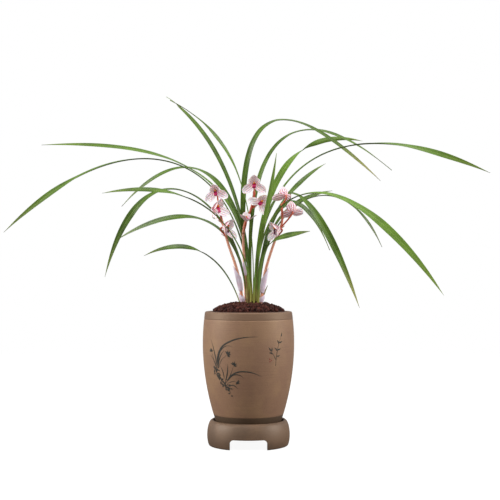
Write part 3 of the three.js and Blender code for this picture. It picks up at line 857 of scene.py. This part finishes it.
@dataclass
class Saucer:
    """The round saucer: turned, then opened by three arches that leave three feet."""

    foot: float = 71.0
    belly: float = 74.0
    belly_level: float = 18.0
    top: float = 45.0
    lip: float = 65.0
    lip_turn: float = 2.5
    lip_drop: float = 1.5
    seat: float = 26.6
    seat_radius: float = 61.8
    under: float = 20.0
    foot_inner: float = 59.0
    arch_width: float = 65.0
    arch_height: float = 18.3
    arch_corner: float = 7.0
    HEADINGS = (-90, 30, 150)

    def outside(self) -> np.ndarray:
        """The outer profile: a parabola up to the belly, then two quarter ellipses over the lip.

        Below the belly r = belly - (belly - foot) * (1 - z / belly_level)^2. The shoulder is
        (lip + (belly - lip) cos a, belly_level + (top - belly_level) sin a), and the lip's fall to the
        inside is (lip - lip_turn sin a, top - lip_drop (1 - cos a)), each for a from 0 to a quarter turn.
        """
        share = np.linspace(0, 1, 24, endpoint=False)
        flare = (self.belly - self.foot) * (1 - share) ** 2
        base = np.column_stack([self.belly - flare, share * self.belly_level])
        turn = np.linspace(0, np.pi / 2, 56)
        shoulder = np.column_stack([self.lip + (self.belly - self.lip) * np.cos(turn),
                                    self.belly_level + (self.top - self.belly_level) * np.sin(turn)])
        turn = np.linspace(0, np.pi / 2, 9)[1:]
        fall = np.column_stack([self.lip - self.lip_turn * np.sin(turn),
                                self.top - self.lip_drop * (1 - np.cos(turn))])
        return np.vstack([base, shoulder, fall])

    def body(self) -> Surface:
        """The saucer before it is opened."""
        outside = self.outside()
        outside[:, 0] -= 0.9 * np.exp(-outside[:, 1] / 0.8)
        inside = [[self.seat_radius, self.seat + 1.5], [self.seat_radius - 1.5, self.seat], [30, self.seat],
                  [1, self.seat]]
        underside = [[1, self.under], [30, self.under], [self.foot_inner, self.under], [self.foot_inner, 10],
                     [self.foot_inner, 0.6], [self.foot_inner + 0.6, 0]]
        return turned(np.vstack([underside, outside, inside]), 160)

    def arch(self, heading: float) -> Surface:
        """A prism with round upper corners that lies across the wall at a heading."""
        half, top = self.arch_width / 2, self.arch_height - self.arch_corner
        turn = np.linspace(0, np.pi / 2, 10)
        right = np.column_stack([half - self.arch_corner * (1 - np.cos(turn)),
                                 top + self.arch_corner * np.sin(turn)])
        left = np.column_stack([-right[::-1, 0], right[::-1, 1]])
        outline = np.vstack([[[half, -5]], right, left, [[-half, -5]]])
        depth = np.array([40.0, 100.0])
        out = np.array([math.cos(math.radians(heading)), math.sin(math.radians(heading)), 0])
        side = np.array([-out[1], out[0], 0])
        rings = (depth[:, None, None] * out + outline[None, :, :1] * side + outline[None, :, 1:] * [0, 0, 1])
        return skin(rings, np.zeros(rings.shape[:2] + (2,)))

    def build(self) -> None:
        """Cuts the arches, rounds their edges, and puts the saucer in."""
        clay = Clay("saucer_clay", body=shade("614c3c"), light=shade("725843"), burnished=shade("524035"),
                    fleck=shade("3c2e24"), sheen=(1.0, 0.86, 0.72, 1.0), rough=0.44, gloss=0.55)
        piece = put_in("saucer_body", self.body(), clay, "saucer_clay", "saucer")
        arches = joined([self.arch(heading) for heading in self.HEADINGS])
        cutter = bpy.data.objects.new("arches", into_mesh("arches", arches))
        bpy.context.scene.collection.objects.link(cutter)
        opened = piece.modifiers.new("opened", "BOOLEAN")
        opened.operation, opened.solver, opened.object = "DIFFERENCE", "EXACT", cutter
        rounded = piece.modifiers.new("rounded", "BEVEL")
        rounded.width, rounded.segments, rounded.limit_method, rounded.angle_limit = 0.9 * MM, 2, "ANGLE", 0.7
        finished = bpy.data.meshes.new_from_object(piece.evaluated_get(bpy.context.evaluated_depsgraph_get()))
        piece.modifiers.clear()
        piece.data = finished
        finished.polygons.foreach_set("use_smooth", np.ones(len(finished.polygons), bool))
        finished.set_sharp_from_angle(angle=0.8)
        bpy.data.objects.remove(cutter)


@dataclass
class Mix:
    """The potting mix: a low dome in the pot's mouth with loose granules heaped over it."""

    EDGE = 237.0
    pot: Pot
    radius: float = 65.4
    rise: float = 17.0
    fullness: float = 0.65
    foot: float = 38.4
    granules: int = 620
    seed: int = 5

    def level(self, r: np.ndarray) -> np.ndarray:
        """The dome's height at a distance from the axis."""
        share = np.clip(r / self.radius, 0, 1) ** 2
        return self.EDGE + self.rise * (1 - share) ** self.fullness

    def dome(self) -> Surface:
        """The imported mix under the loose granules, its top lowered a little and made lumpy by three waves."""
        r = np.linspace(self.radius, 1, 34)
        top = np.column_stack([r, self.level(r) - 1.6 * fade(-r, -self.radius, -self.radius + 6)])
        side = self.pot.inside()[::-1] - [0.4, 0]
        side[:, 1] = np.maximum(side[:, 1], self.foot)
        side = side[side[:, 1] < 225]
        collar = [[self.radius, 230.0]]
        body = turned(np.vstack([[[1, self.foot], [30, self.foot]], side, collar, top]), 96)
        x, y, z = body.points.T
        lumps = np.sin(x * 0.9 + 1) * np.sin(y * 0.8) + 0.6 * np.sin(x * 0.37 - y * 0.51)
        lowered = 0.5 * np.abs(lumps) * fade(-np.hypot(x, y), -self.radius, -60)
        body.points[:, 2] -= np.where(z > 234, lowered, 0)
        return body.marked(tone=0.05)

    def heap(self) -> Surface:
        """Granules in a sunflower spiral, each a small ball dented at random and turned at random."""
        draw = np.random.default_rng(self.seed)
        count = self.granules
        k = np.arange(count) + 0.5
        r = (self.radius - 2.6) * np.sqrt(k / count)
        angle = k * math.pi * (3 - math.sqrt(5)) + draw.normal(0, 0.05, count)
        size = draw.uniform(1.5, 4.4, count)
        level = self.level(r) + draw.uniform(-1.2, 0.2, count)
        middle = np.column_stack([r * np.cos(angle), r * np.sin(angle), level])
        tilt, turn = np.meshgrid(np.linspace(0, np.pi, 6)[1:-1], np.arange(6) / 6 * 2 * np.pi, indexing="ij")
        ball = np.stack([np.sin(tilt) * np.cos(turn), np.sin(tilt) * np.sin(turn), -np.cos(tilt)], axis=-1)
        lump = skin(ball, np.zeros(ball.shape[:2] + (2,)))
        lump.points[-2:] = [[0, 0, -1], [0, 0, 1]]
        axes, _ = np.linalg.qr(draw.normal(size=(count, 3, 3)))
        axes[np.linalg.det(axes) < 0, :, 0] *= -1
        squash = draw.uniform(0.65, 1.15, (count, 1, 3))
        bulge = draw.uniform(0.8, 1.15, (count, len(lump.points), 1))
        shapes = np.einsum("nij,nvj->nvi", axes, lump.points[None] * squash * bulge) * size[:, None, None]
        points = (shapes + middle[:, None]).reshape(-1, 3)
        shift = (np.arange(count) * len(lump.points))[:, None, None]
        faces = [(f[None] + shift).reshape(-1, f.shape[1]) for f in lump.faces]
        tone = np.repeat(draw.uniform(0, 1, count), len(lump.points))
        return Surface(points, faces, np.zeros((len(points), 2))).marked(tone=tone)

    def strips(self) -> Surface:
        """A tan sliver of bark and a few old roots lying on the mix near the plant."""
        laid = (([-31, -22, 250], [-24, -24, 251.5], [-14, -26, 250], 1.5),
                ([30, 6, 249], [37, 2, 250], [43, 4, 246], 0.8),
                ([-30, 8, 250], [-24, 13, 252], [-16, 12, 252], 0.7),
                ([12, -40, 247], [3, -42, 248.5], [-6, -39, 247], 0.7),
                ([26, -28, 248], [32, -22, 249.5], [33, -14, 248], 0.9))
        parts = []
        for *points, radius in laid:
            path = spline(points, np.linspace(0, 1, 14))
            parts.append(tube(path, radius * np.sin(np.linspace(0.25, 2.9, 14)), 8, (0, 0, 1)))
        return joined(parts)

    def build(self) -> None:
        """Puts the dome, the granules and the strips in."""
        finish = Granules("potting_mix")
        put_in("packed_mix", self.dome(), finish, "potting_mix", "potting_mix")
        put_in("loose_granules", self.heap(), finish, "potting_mix")
        bark = Paper("bark", pale=shade("a9754f"), deep=shade("6f4229"), fibre=shade("53301d"))
        put_in("bark_and_roots", self.strips(), bark, "potting_mix")


@dataclass
class Engraving:
    """A plain drawing scratched into the pot's front and inked: a tuft of grass with blossoms, and a sprig.

    Strokes are laid out flat, as (millimetres to the right round the pot, height), and wrapped on to its
    wall.
    """

    pot: Pot
    seed: int = 11
    parts: list[Surface] = field(default_factory=list)

    def stroke(self, points: Any, width: float, blunt: float = 0.12) -> Surface:
        """A scratched line: a flat lens in section, widest before its middle and drawn out to a fine end.

        Args:
            points: the places that it goes through, foot first.
            width: its greatest width.
            blunt: its width at the foot, as a share of the greatest.

        Returns:
            The surface, standing a hair proud of the wall.
        """
        stations = 22
        u = np.linspace(0, 1, stations)
        flat = spline(points, u, 14)
        swell = np.sin(np.pi * np.clip(0.06 + 0.94 * u**0.8, 0, 1))
        half = 0.58 * width * np.maximum(swell, blunt * (1 - u)) + 0.08
        radius = self.pot.radius(flat[:, 1])
        turn = flat[:, 0] / radius - np.pi / 2
        path = np.column_stack([radius * np.cos(turn), radius * np.sin(turn), flat[:, 1]])
        out = unit(np.column_stack([np.cos(turn), np.sin(turn), np.zeros(stations)]))
        along = unit(np.gradient(path, axis=0))
        side = np.cross(out, along)
        return Blade(path, half, side, out).surface(lambda a, b: 0 * a * b, lambda a, b: 0.36 + 0 * a * b, 6)

    def blossom(self, x: float, z: float, lean: float, size: float = 1.0) -> None:
        """Five short brush strokes that open from one point."""
        for angle in (-75, -38, 0, 40, 82):
            way = math.radians(angle + lean)
            reach = size * (5.2 if angle else 6.0)
            tip = (x + reach * math.sin(way), z + reach * math.cos(way))
            bow = (x + 0.5 * reach * math.sin(way + 0.25), z + 0.5 * reach * math.cos(way + 0.25))
            self.parts.append(self.stroke([(x, z), bow, tip], 1.7 * size))

    def tuft(self) -> None:
        """Long blades that sweep right, short ones behind, thin stalks with blossoms, and dabs of ground."""
        blades = (
            ([(-60, 140), (-59, 160), (-50, 178), (-30, 190), (-6, 196), (20, 197)], 2.6),
            ([(-58, 140), (-57, 158), (-52, 172), (-40, 181), (-27, 180)], 1.9),
            ([(-62, 142), (-63, 158), (-69, 176), (-75, 190)], 2.0),
            ([(-61, 140), (-66, 152), (-72, 160), (-77, 163)], 1.6),
            ([(-57, 142), (-55, 156), (-49, 168), (-44, 173)], 1.8),
            ([(-40, 118), (-31, 130), (-16, 137), (4, 136), (24, 128)], 2.3),
            ([(-38, 120), (-27, 131), (-15, 131), (-7, 125)], 1.8),
            ([(-42, 118), (-38, 134), (-37, 150)], 1.9),
            ([(-36, 112), (-26, 113), (-18, 107)], 1.6),
            ([(-44, 124), (-47, 136), (-52, 146)], 1.5),
        )
        stalks = ([(-62, 142), (-68, 156), (-74, 171)], [(-56, 142), (-50, 156), (-38, 166)],
                  [(-38, 120), (-30, 136), (-26, 148)], [(-38, 116), (-27, 120), (-20, 119)])
        for points, width in blades:
            self.parts.append(self.stroke(points, width))
        for points in stalks:
            self.parts.append(self.stroke(points, 0.8, 0.8))
        blossoms = ((-75, 170, -20, 1.1), (-38, 166, 40, 1.4), (-26, 148, 15, 1.25), (-20, 119, 110, 1.0))
        for x, z, lean, size in blossoms:
            self.blossom(x, z, lean, size)
        draw = np.random.default_rng(self.seed)
        for step in np.linspace(0, 1, 84):
            x = -68 + 34 * step + draw.normal(0, 2.6)
            z = 141 - 38 * step + draw.normal(0, 2.8)
            lean, reach = draw.uniform(-1.2, 1.2), draw.uniform(2, 5)
            end = (x + reach * math.cos(lean), z - reach * math.sin(abs(lean)))
            middle = (x + 0.5 * reach * math.cos(lean), z - 0.4 * reach * math.sin(lean))
            self.parts.append(self.stroke([(x, z), middle, end], draw.uniform(1.3, 3.0), 0.7))
        for x, z in ((-36, 99), (-31, 95)):
            self.parts.append(self.stroke([(x, z), (x + 2, z - 0.5), (x + 4, z - 0.2)], 2.2, 0.8))

    def sprig(self) -> None:
        """A small upright sprig with leaves in pairs."""
        self.parts.append(self.stroke([(50, 146), (52, 164), (56, 180), (62, 196)], 0.9, 0.8))
        self.parts.append(self.stroke([(51, 156), (45, 166), (40, 172)], 0.8, 0.8))
        leaves = ((62, 196, 15), (58, 186, 70), (57, 184, -30), (54, 174, 75), (53, 172, -45), (52, 163, 80),
                  (40, 172, -35), (41, 171, 10), (44, 167, -75))
        for x, z, lean in leaves:
            way = math.radians(lean)
            tip = (x + 8 * math.sin(way), z + 8 * math.cos(way))
            bow = (x + 4 * math.sin(way + 0.2), z + 4 * math.cos(way + 0.2))
            self.parts.append(self.stroke([(x, z), bow, tip], 2.0))

    def build(self) -> None:
        """Puts the ink in, and the three berries under the sprig."""
        self.tuft()
        self.sprig()
        put_in("pot_drawing", joined(self.parts), Ink("ink"), "pot_clay")
        berries = [self.stroke([(x, z), (x + 1.3, z + 0.2), (x + 2.6, z)], 2.6, 0.9) for x, z in
                   ((37, 158), (40.5, 156), (37.5, 154))]
        red = Ink("berry_ink", dark=shade("7c2f22"), worn=shade("8a4a36"))
        put_in("pot_berries", joined(berries), red, "pot_clay")


# ---- Leaves ----
@dataclass(frozen=True)
class LeafLook:
    """One leaf: the end of its node's name, how light its green is from 0 to 1, and how dry its tip is."""

    name: str
    tone: float
    dry: float = 0.15


@dataclass
class Foliage:
    """The strap leaves and the papery scales at their feet, each on the line of its own CAD node."""

    LOOKS = (
        LeafLook("left_high", 0.55), LeafLook("left_longest", 0.38), LeafLook("left_back_short", 0.32),
        LeafLook("left_tallest", 0.28), LeafLook("left_upright", 0.42), LeafLook("left_front", 0.4),
        LeafLook("left_drooping", 0.2), LeafLook("left_back_low", 0.3), LeafLook("left_lowest", 0.15),
        LeafLook("right_arching", 0.28, 0.9), LeafLook("right_back_arching", 0.36),
        LeafLook("right_pale", 0.75),
        LeafLook("right_longest", 0.5), LeafLook("centre_front", 0.85), LeafLook("back_straight", 0.4),
        LeafLook("right_front_drooping", 0.4, 0.8), LeafLook("right_back_drooping", 0.22),
        LeafLook("back_low", 0.32), LeafLook("right_front_long", 0.62), LeafLook("right_low", 0.22),
        LeafLook("front_short", 0.15),
    )
    SCALES = ("left", "front", "right")
    stations: int = 110
    across: int = 13
    thickness: float = 0.7
    slim: float = 0.82

    def leaf(self, node: str) -> Surface:
        """A channelled blade: a soft V that closes up at the foot, with a groove over a raised midrib."""
        blade = cad_blade(node, self.stations, 0.5)
        blade.half *= self.slim + (1 - self.slim) * fade(np.linspace(0, 1, self.stations), 0.35, 0.65)
        half = blade.half[:, None]

        def rise(u: np.ndarray, v: np.ndarray) -> np.ndarray:
            """The V's height, which grows with v and is steepest at the foot, less the groove."""
            fold = 0.2 + 0.2 * (1 - fade(u, 0.02, 0.3))
            wave = 0.25 * np.sin(u * 34 + 2 * np.sign(v)) * v**2 * fade(u, 0.3, 0.6)
            groove = 0.12 * np.exp(-((v * half / 0.7) ** 2))
            return fold * half * np.abs(v) ** 1.3 + wave * half * 0.12 - groove

        def thick(u: np.ndarray, v: np.ndarray) -> np.ndarray:
            """Thin to the edges, with the midrib's keel."""
            return self.thickness + 0.55 * np.exp(-((v * half / 0.9) ** 2)) + 0 * u

        return blade.surface(rise, thick, self.across)

    def scale(self, node: str) -> Surface:
        """A short clasping scale, curled towards the plant, with a torn edge."""
        blade = cad_blade(node, 30, 0.9)
        half = blade.half[:, None]

        def rise(u: np.ndarray, v: np.ndarray) -> np.ndarray:
            """A round trough with a ragged edge."""
            return 0.75 * half * v**2 + 0.3 * np.sin(u * 21) * v**2

        return blade.surface(rise, lambda u, v: 0.5 + 0 * u * v, self.across)

    def build(self) -> None:
        """Puts each leaf and scale in."""
        skin_of_leaf = LeafSkin("leaf_green")
        for look in self.LOOKS:
            node = f"leaf_{look.name}"
            surface = self.leaf(node).marked(tone=look.tone, dry=look.dry)
            put_in(f"blade_{look.name}", surface, skin_of_leaf, "leaf", node)
        dry = Paper("dry_scale", pale=shade("a99a5c"), deep=shade("6b4f2a"), fibre=shade("7c6638"))
        for side in self.SCALES:
            node = f"basal_scale_{side}"
            put_in(f"papery_scale_{side}", self.scale(node), dry, "dry_scale", node)


# ---- Flower spikes ----
@dataclass(frozen=True)
class Flower:
    """One flower: its place on the spike, its heart, and the way it faces.

    heading and lift point it, tilt turns it about that way, open is its petals' angle from that way, start is
    where its stalk leaves the stem as a share of the stem's length, and dark is how plum-coloured its lip is.
    """

    place: str
    heart: tuple[float, float, float]
    heading: float
    lift: float
    tilt: float
    open: float
    size: float
    start: float
    dark: float = 0.0

    def turn(self) -> np.ndarray:
        """Turns the flower's own frame, +X out of it and +Z its top, to the way it faces."""
        a, b, c = (math.radians(x) for x in (self.heading, self.lift, self.tilt))
        about_z = np.array([[math.cos(a), -math.sin(a), 0], [math.sin(a), math.cos(a), 0], [0, 0, 1]])
        about_y = np.array([[math.cos(b), 0, -math.sin(b)], [0, 1, 0], [math.sin(b), 0, math.cos(b)]])
        about_x = np.array([[1, 0, 0], [0, math.cos(c), -math.sin(c)], [0, math.sin(c), math.cos(c)]])
        return about_z @ about_y @ about_x


@dataclass(frozen=True)
class Tepal:
    """One of a flower's five petals: angle from the top, length, width, lean off its opening, and bend."""

    angle: float
    length: float
    width: float
    lean: float
    bend: float


@dataclass
class Spike:
    """A flower stem with its stalks, bracts, papery sheaths and flowers."""

    TEPALS = (Tepal(0, 20, 15, -22, 34), Tepal(126, 26, 15, 6, 18), Tepal(-126, 26, 15, 6, 18),
              Tepal(54, 17, 11.5, -24, 38), Tepal(-54, 17, 11.5, -24, 38))
    name: str
    foot: tuple[float, float]
    points: tuple[tuple[float, float, float], ...]
    sheaths: tuple[tuple[float, float], ...]
    flowers: tuple[Flower, ...]
    tongue_side: tuple[float, float, float]
    mix: Mix
    radius: float = 2.9
    taper: float = 0.35
    stalk: float = 1.35
    steepest: float = 46.0

    def line(self, at: np.ndarray) -> np.ndarray:
        """Points on the stem's middle, from the mix up."""
        x, y = self.foot
        foot = (x, y, float(self.mix.level(np.hypot(x, y))) + 1.2)
        return spline([foot, *self.points], at)

    def thickness(self, at: np.ndarray) -> np.ndarray:
        """The stem's radius: it thins upwards, and swells a little where each stalk leaves."""
        joints = sum(0.28 * np.exp(-((at - f.start) / 0.018) ** 2) for f in self.flowers)
        return self.radius * (1 - self.taper * at) + joints

    def stem(self) -> Surface:
        """The stem, its stalks and a small bract under each stalk."""
        at = np.linspace(0, 1, 120)
        path = self.line(at)
        buried = path[:1] - [[0, 0, 8]]
        radius = self.thickness(at)
        core = tube(np.vstack([buried, path]), np.append(radius[0], radius), 14, (0, 1, 0))
        parts = [core.marked(blush=np.clip(0.05 + 0.85 * fade(core.points[:, 2], 365, 430), 0, 1))]
        for flower in self.flowers:
            facing = flower.turn()[:, 0]
            heart = np.array(flower.heart, float)
            start = self.line(np.array([min(flower.start, 0.985)]))[0]
            bend, end = heart - 9 * facing, heart - facing
            t = np.linspace(0, 1, 26)[:, None]
            path = start * (1 - t) ** 2 + 2 * bend * t * (1 - t) + end * t**2
            girth = self.stalk * (1 + 0.25 * t[:, 0])
            parts.append(tube(path, girth, 10, (0, 1, 0.2)).marked(blush=0.85))
            parts.append(self.bract(start, path[4] - path[0]))
        return joined(parts)

    def bract(self, start: np.ndarray, way: np.ndarray) -> Surface:
        """A small pointed leaf that holds the foot of a stalk."""
        u = np.linspace(0, 1, 16)
        along = unit(way * [1, 1, 0.4] + [0, 0, 1e-3])
        up = unit(np.cross(np.cross(along, [0, 0, 1.0]), along))
        path = start - 1.5 * up + along * (u[:, None] * 10) + up * (2 * u[:, None] ** 2)
        half = 2.6 * np.sin(np.pi * (0.2 + 0.8 * u)) ** 0.8 + 0.1
        blade = Blade(path, half, np.tile(np.cross(up, along), (16, 1)), np.tile(up, (16, 1)))
        surface = blade.surface(lambda a, b: 1.1 * b**2 * (1 - 0.5 * a), lambda a, b: 0.4 + 0 * a * b, 9)
        return surface.marked(blush=0.2)

    def sheath(self, start: float, end: float) -> Surface:
        """A papery sleeve whose upper edge slants up to a pointed tongue.

        Its radius swells with the sine of the height. The edge at an angle from the tongue is cut back with
        the cosine of that angle, and the wall closes over at the top from outside to inside.

        Args:
            start: its lower end as a share of the stem's length.
            end: the tip of its tongue.

        Returns:
            The surface.
        """
        sides, levels = 28, 26
        angle = np.arange(sides) / sides * 2 * np.pi
        level = np.linspace(0, 1, levels)[:, None]
        reach = 1 - 0.5 * (0.5 - 0.5 * np.cos(angle)) ** 0.8
        at = start + (end - start) * level * reach[None]
        path = self.line(at.ravel()).reshape(levels, sides, 3)
        middle = (start + end) / 2
        along = unit(self.line(np.array([middle + 0.02])) - self.line(np.array([middle - 0.02])))
        first = unit(np.cross(np.cross(along, np.array(self.tongue_side, float)), along))
        second = np.cross(along, first)
        spoke = first * np.cos(angle)[:, None] + second * np.sin(angle)[:, None]
        fuller = 1 + 0.25 * np.cos(angle)[None]
        swell = self.radius + 0.35 + 1.5 * np.sin(np.pi * level * 0.8) ** 0.9 * fuller
        outer = path + spoke[None] * (swell + 0.45 + 0.12 * np.sin(5 * angle)[None])[..., None]
        inner = path + spoke[None] * swell[..., None]
        rings = np.concatenate([outer, inner[::-1]])
        v = np.concatenate([level, level[::-1]]) * np.ones((1, sides))
        uv = np.stack([0.5 + 0.5 * np.cos(angle)[None] * np.ones_like(v), v], axis=-1)
        return skin(rings, uv, loop=True)

    def tepal(self, row: Tepal, flower: Flower) -> Surface:
        """A petal on a circular arc that leaves the heart steeply and bends forward.

        Its angle off the flower's axis falls evenly along it. Its outline is an oval, broadest at 0.56 of its
        length, on a narrow root, and its edges are cupped and slightly waved.

        Args:
            row: the petal.
            flower: the flower that it belongs to.

        Returns:
            The surface in the flower's own frame.
        """
        u = np.linspace(0, 1, 30)
        off = np.radians(max(self.steepest, flower.open + row.lean) - row.bend * u)[:, None]
        angle = math.radians(row.angle)
        radial, axis = np.array([0, -math.sin(angle), math.cos(angle)]), np.array([1.0, 0, 0])
        along = radial * np.sin(off) + axis * np.cos(off)
        face = axis * np.sin(off) - radial * np.cos(off)
        length = row.length * flower.size
        path = np.vstack([[0, 0, 0], np.cumsum((along[1:] + along[:-1]) / 2, axis=0) * length / 29])
        oval = np.sqrt(np.clip(1 - (2 * u**1.2 - 1) ** 2, 0, 1))
        half = 0.5 * row.width * flower.size * np.maximum(oval, 0.3 * (1 - u) + 0.02)
        half_row = half[:, None]

        def rise(a: np.ndarray, b: np.ndarray) -> np.ndarray:
            """Cupped edges, a slight midrib fold, a wave along the edge, and a tip that rolls back."""
            wave = 0.35 * np.sin(9 * a + row.angle) * np.abs(b) ** 3
            return 0.26 * half_row * np.abs(b) ** 1.6 + wave - 1.4 * a**5

        return Blade(path, half, np.cross(face, along), face).surface(rise, lambda a, b: 0.55 + 0 * a * b, 15)

    def lip(self, flower: Flower) -> Surface:
        """The tongue, which comes forward and curls down and back, its edge waved, and the arched column."""
        u = np.linspace(0, 1, 30)
        path = spline([(3.2, 0, -0.4), (6.8, 0, -1.4), (9, 0, -3.8), (9, 0, -6.8), (7, 0, -8.8)], u)
        along = unit(np.gradient(path, axis=0))
        side = np.tile([0.0, 1.0, 0.0], (30, 1))
        face = np.cross(along, side)
        half = 0.5 * np.interp(u, [0, 0.25, 0.5, 0.75, 0.92, 1], [3.2, 7, 8.2, 8.2, 5.4, 0.4])
        half_row = half[:, None]

        def rise(a: np.ndarray, b: np.ndarray) -> np.ndarray:
            """Raised side lobes near the root, and a ruffle near the tip."""
            lobes = 0.9 * half_row * b**2 * (1 - fade(a, 0.3, 0.55))
            return lobes + 0.5 * np.sin(14 * a + 2 * b) * b**2 * fade(a, 0.45, 0.8)

        blade = Blade(path, half, np.cross(face, along), face)
        tongue = blade.surface(rise, lambda a, b: 0.6 + 0 * a * b, 13)
        t = np.linspace(0, 1, 18)[:, None]
        arch = np.array([3.2, 0, 0.2]) * (1 - t) ** 2 + 2 * np.array([7.5, 0, 3.6]) * t * (1 - t) + (
            np.array([9.6, 0, 1.2]) * t**2)
        column = tube(arch, 1.35 + 0.25 * np.cos(2.4 * t[:, 0]), 12, (0, 1, 0))
        tip = np.array([9.7, 0, 1.0])
        way = unit(arch[-1] - arch[-3])
        cap_path = tip + way * np.linspace(-1.3, 1.1, 9)[:, None]
        cap_radius = 1.75 * np.sqrt(np.clip(1 - np.linspace(-0.97, 0.97, 9) ** 2, 0.02, 1))
        cap = tube(cap_path, cap_radius, 12, (0, 1, 0))
        whole = joined([tongue.marked(part=0), column.marked(part=1), cap.marked(part=2)])
        whole = whole.marked(dark=flower.dark)
        whole.points *= flower.size
        return whole

    def build(self) -> None:
        """Puts the stem, the sheaths and the flowers in."""
        put_in(f"{self.name}_stem", self.stem(), StemSkin("stem"), "flower_stem", f"{self.name}_spike_stem")
        # The sheaths get a faint painted glow, standing in for light through their thin paper.
        paper = Paper("sheath", painted_glow=0.12)
        for number, (start, end) in enumerate(self.sheaths, 1):
            put_in(f"{self.name}_sheath_{number}", self.sheath(start, end), paper, "sheath",
                   f"{self.name}_spike_sheath_{number}")
        petals, lips = PetalSkin("petal"), LipSkin("lip")
        for flower in self.flowers:
            heart, turn = np.array(flower.heart, float), flower.turn()
            name, node = f"{self.name}_{flower.place}", f"{self.name}_flower_{flower.place}"
            tepals = joined([self.tepal(row, flower) for row in self.TEPALS]).placed(turn, heart)
            put_in(f"{name}_tepals", tepals, petals, "petals", f"{node}_petals")
            put_in(f"{name}_tongue", self.lip(flower).placed(turn, heart), lips, "lip", f"{node}_lip")


def spikes(mix: Mix) -> list[Spike]:
    """The three spikes, lowest flower last."""
    left = Spike(
        "left", (-10, -18), ((-20, -23, 310), (-38, -25, 365), (-54, -29, 428)),
        ((0.01, 0.1), (0.12, 0.38)), (
            Flower("top", (-57, -38, 451), -100, -5, 10, 74, 1, 1),
            Flower("middle", (-62, -40, 421), -38, 8, 10, 66, 1.25, 0.82),
            Flower("low", (-46, -32, 387), -25, 6, -12, 60, 1.25, 0.68, 0.9)), (-1, 0, 0), mix)
    centre = Spike(
        "centre", (-4, -8), ((-8, -8, 330), (-8, -8, 390), (4, -9, 420), (11, -9, 450)),
        ((0.24, 0.37),), (
            Flower("top", (10, -14, 466), -90, 0, 0, 84, 1, 1),
            Flower("middle", (22, -17, 433), -80, 5, -40, 76, 1, 0.86),
            Flower("low", (-4, -25, 398), -70, 72, 0, 50, 0.9, 0.62)), (0.3, -1, 0), mix)
    right = Spike(
        "right", (22, -14), ((30, -18, 310), (49, -27, 370), (59, -28, 395), (59, -28, 430)),
        ((0.01, 0.085), (0.1, 0.36)), (
            Flower("top", (66, -31, 444), 115, 25, 0, 60, 1, 1),
            Flower("middle", (78, -34, 415), 98, 30, -10, 60, 1.1, 0.76),
            Flower("low", (56, -39, 384), -158, 0, 8, 60, 1.2, 0.66, 1.0)), (1, 0, 0), mix)
    return [left, centre, right]


# ---- Studio ----
@dataclass
class Studio:
    """A pale floor, soft lamps on both sides and the camera."""

    distance: float = 1.8
    eye: float = 0.3015
    lens: float = 72.0
    pitch: float = 1.489
    yaw: float = -0.086
    floor_radius: float = 2600.0

    def floor(self) -> None:
        """A thin round slab just under the feet."""
        profile = np.array([[1.0, -3], [self.floor_radius, -3], [self.floor_radius, -0.2], [700.0, -0.2],
                            [1.0, -0.2]])
        slab = bpy.data.objects.new("floor", into_mesh("floor", turned(profile, 96)))
        bpy.context.scene.collection.objects.link(slab)
        slab.data.materials.append(StudioFloor("studio_floor").material())
        slab.data.polygons.foreach_set("use_smooth", np.zeros(len(slab.data.polygons), bool))

    def lamp(self, name: str, heading: float, height: float, power: float, spread: float) -> None:
        """A far lamp that shines evenly from a heading and a height in degrees, as soft as its spread."""
        data = bpy.data.lights.new(name, "SUN")
        data.energy, data.angle = power, math.radians(spread)
        lamp = bpy.data.objects.new(name, data)
        lamp.rotation_euler = (math.radians(90 - height), 0, math.radians(heading))
        bpy.context.scene.collection.objects.link(lamp)

    def backdrop(self) -> None:
        """White behind everything, and a dimmer white light all round."""
        world = bpy.data.worlds.new("studio")
        bpy.context.scene.world = world
        world.use_nodes = True
        world.node_tree.nodes.clear()
        graph = Graph(world.node_tree)
        fill = graph.add("ShaderNodeBackground", {"Color": (1, 1, 1, 1), "Strength": 0.42})
        seen = graph.add("ShaderNodeBackground", {"Color": (1, 1, 1, 1), "Strength": 1.0})
        ray = graph.add("ShaderNodeLightPath").outputs["Is Camera Ray"]
        mixed = graph.add("ShaderNodeMixShader", {0: ray, 1: fill.outputs[0], 2: seen.outputs[0]})
        graph.add("ShaderNodeOutputWorld", {"Surface": mixed.outputs[0]})

    def camera(self) -> None:
        """Level with the pot's rim and turned up by a degree and a half."""
        data = bpy.data.cameras.new("camera")
        data.lens, data.sensor_width = self.lens, 36.0
        camera = bpy.data.objects.new("camera", data)
        camera.location = (0, -self.distance, self.eye)
        camera.rotation_euler = (math.radians(90 + self.pitch), 0, math.radians(self.yaw))
        bpy.context.scene.collection.objects.link(camera)
        bpy.context.scene.camera = camera

    def build(self) -> None:
        """Sets up the whole studio."""
        bpy.context.scene.view_settings.view_transform = "Standard"
        self.floor()
        self.backdrop()
        self.lamp("left_lamp", -82, 22, 2.7, 30)
        self.lamp("right_lamp", 80, 22, 2.3, 30)
        self.lamp("front_lamp", -8, 58, 1.0, 60)
        self.lamp("top_lamp", 150, 72, 0.8, 60)
        self.camera()


def main() -> None:
    """Builds the pot, the mix, the leaves, the spikes and the studio, in that order."""
    logging.basicConfig(level=logging.INFO, format="%(name)s %(message)s")
    pot = Pot()
    mix = Mix(pot)
    for part in (pot, Saucer(), mix, Engraving(pot), Foliage(), *spikes(mix), Studio()):
        part.build()


if __name__ == "__main__":
    main()
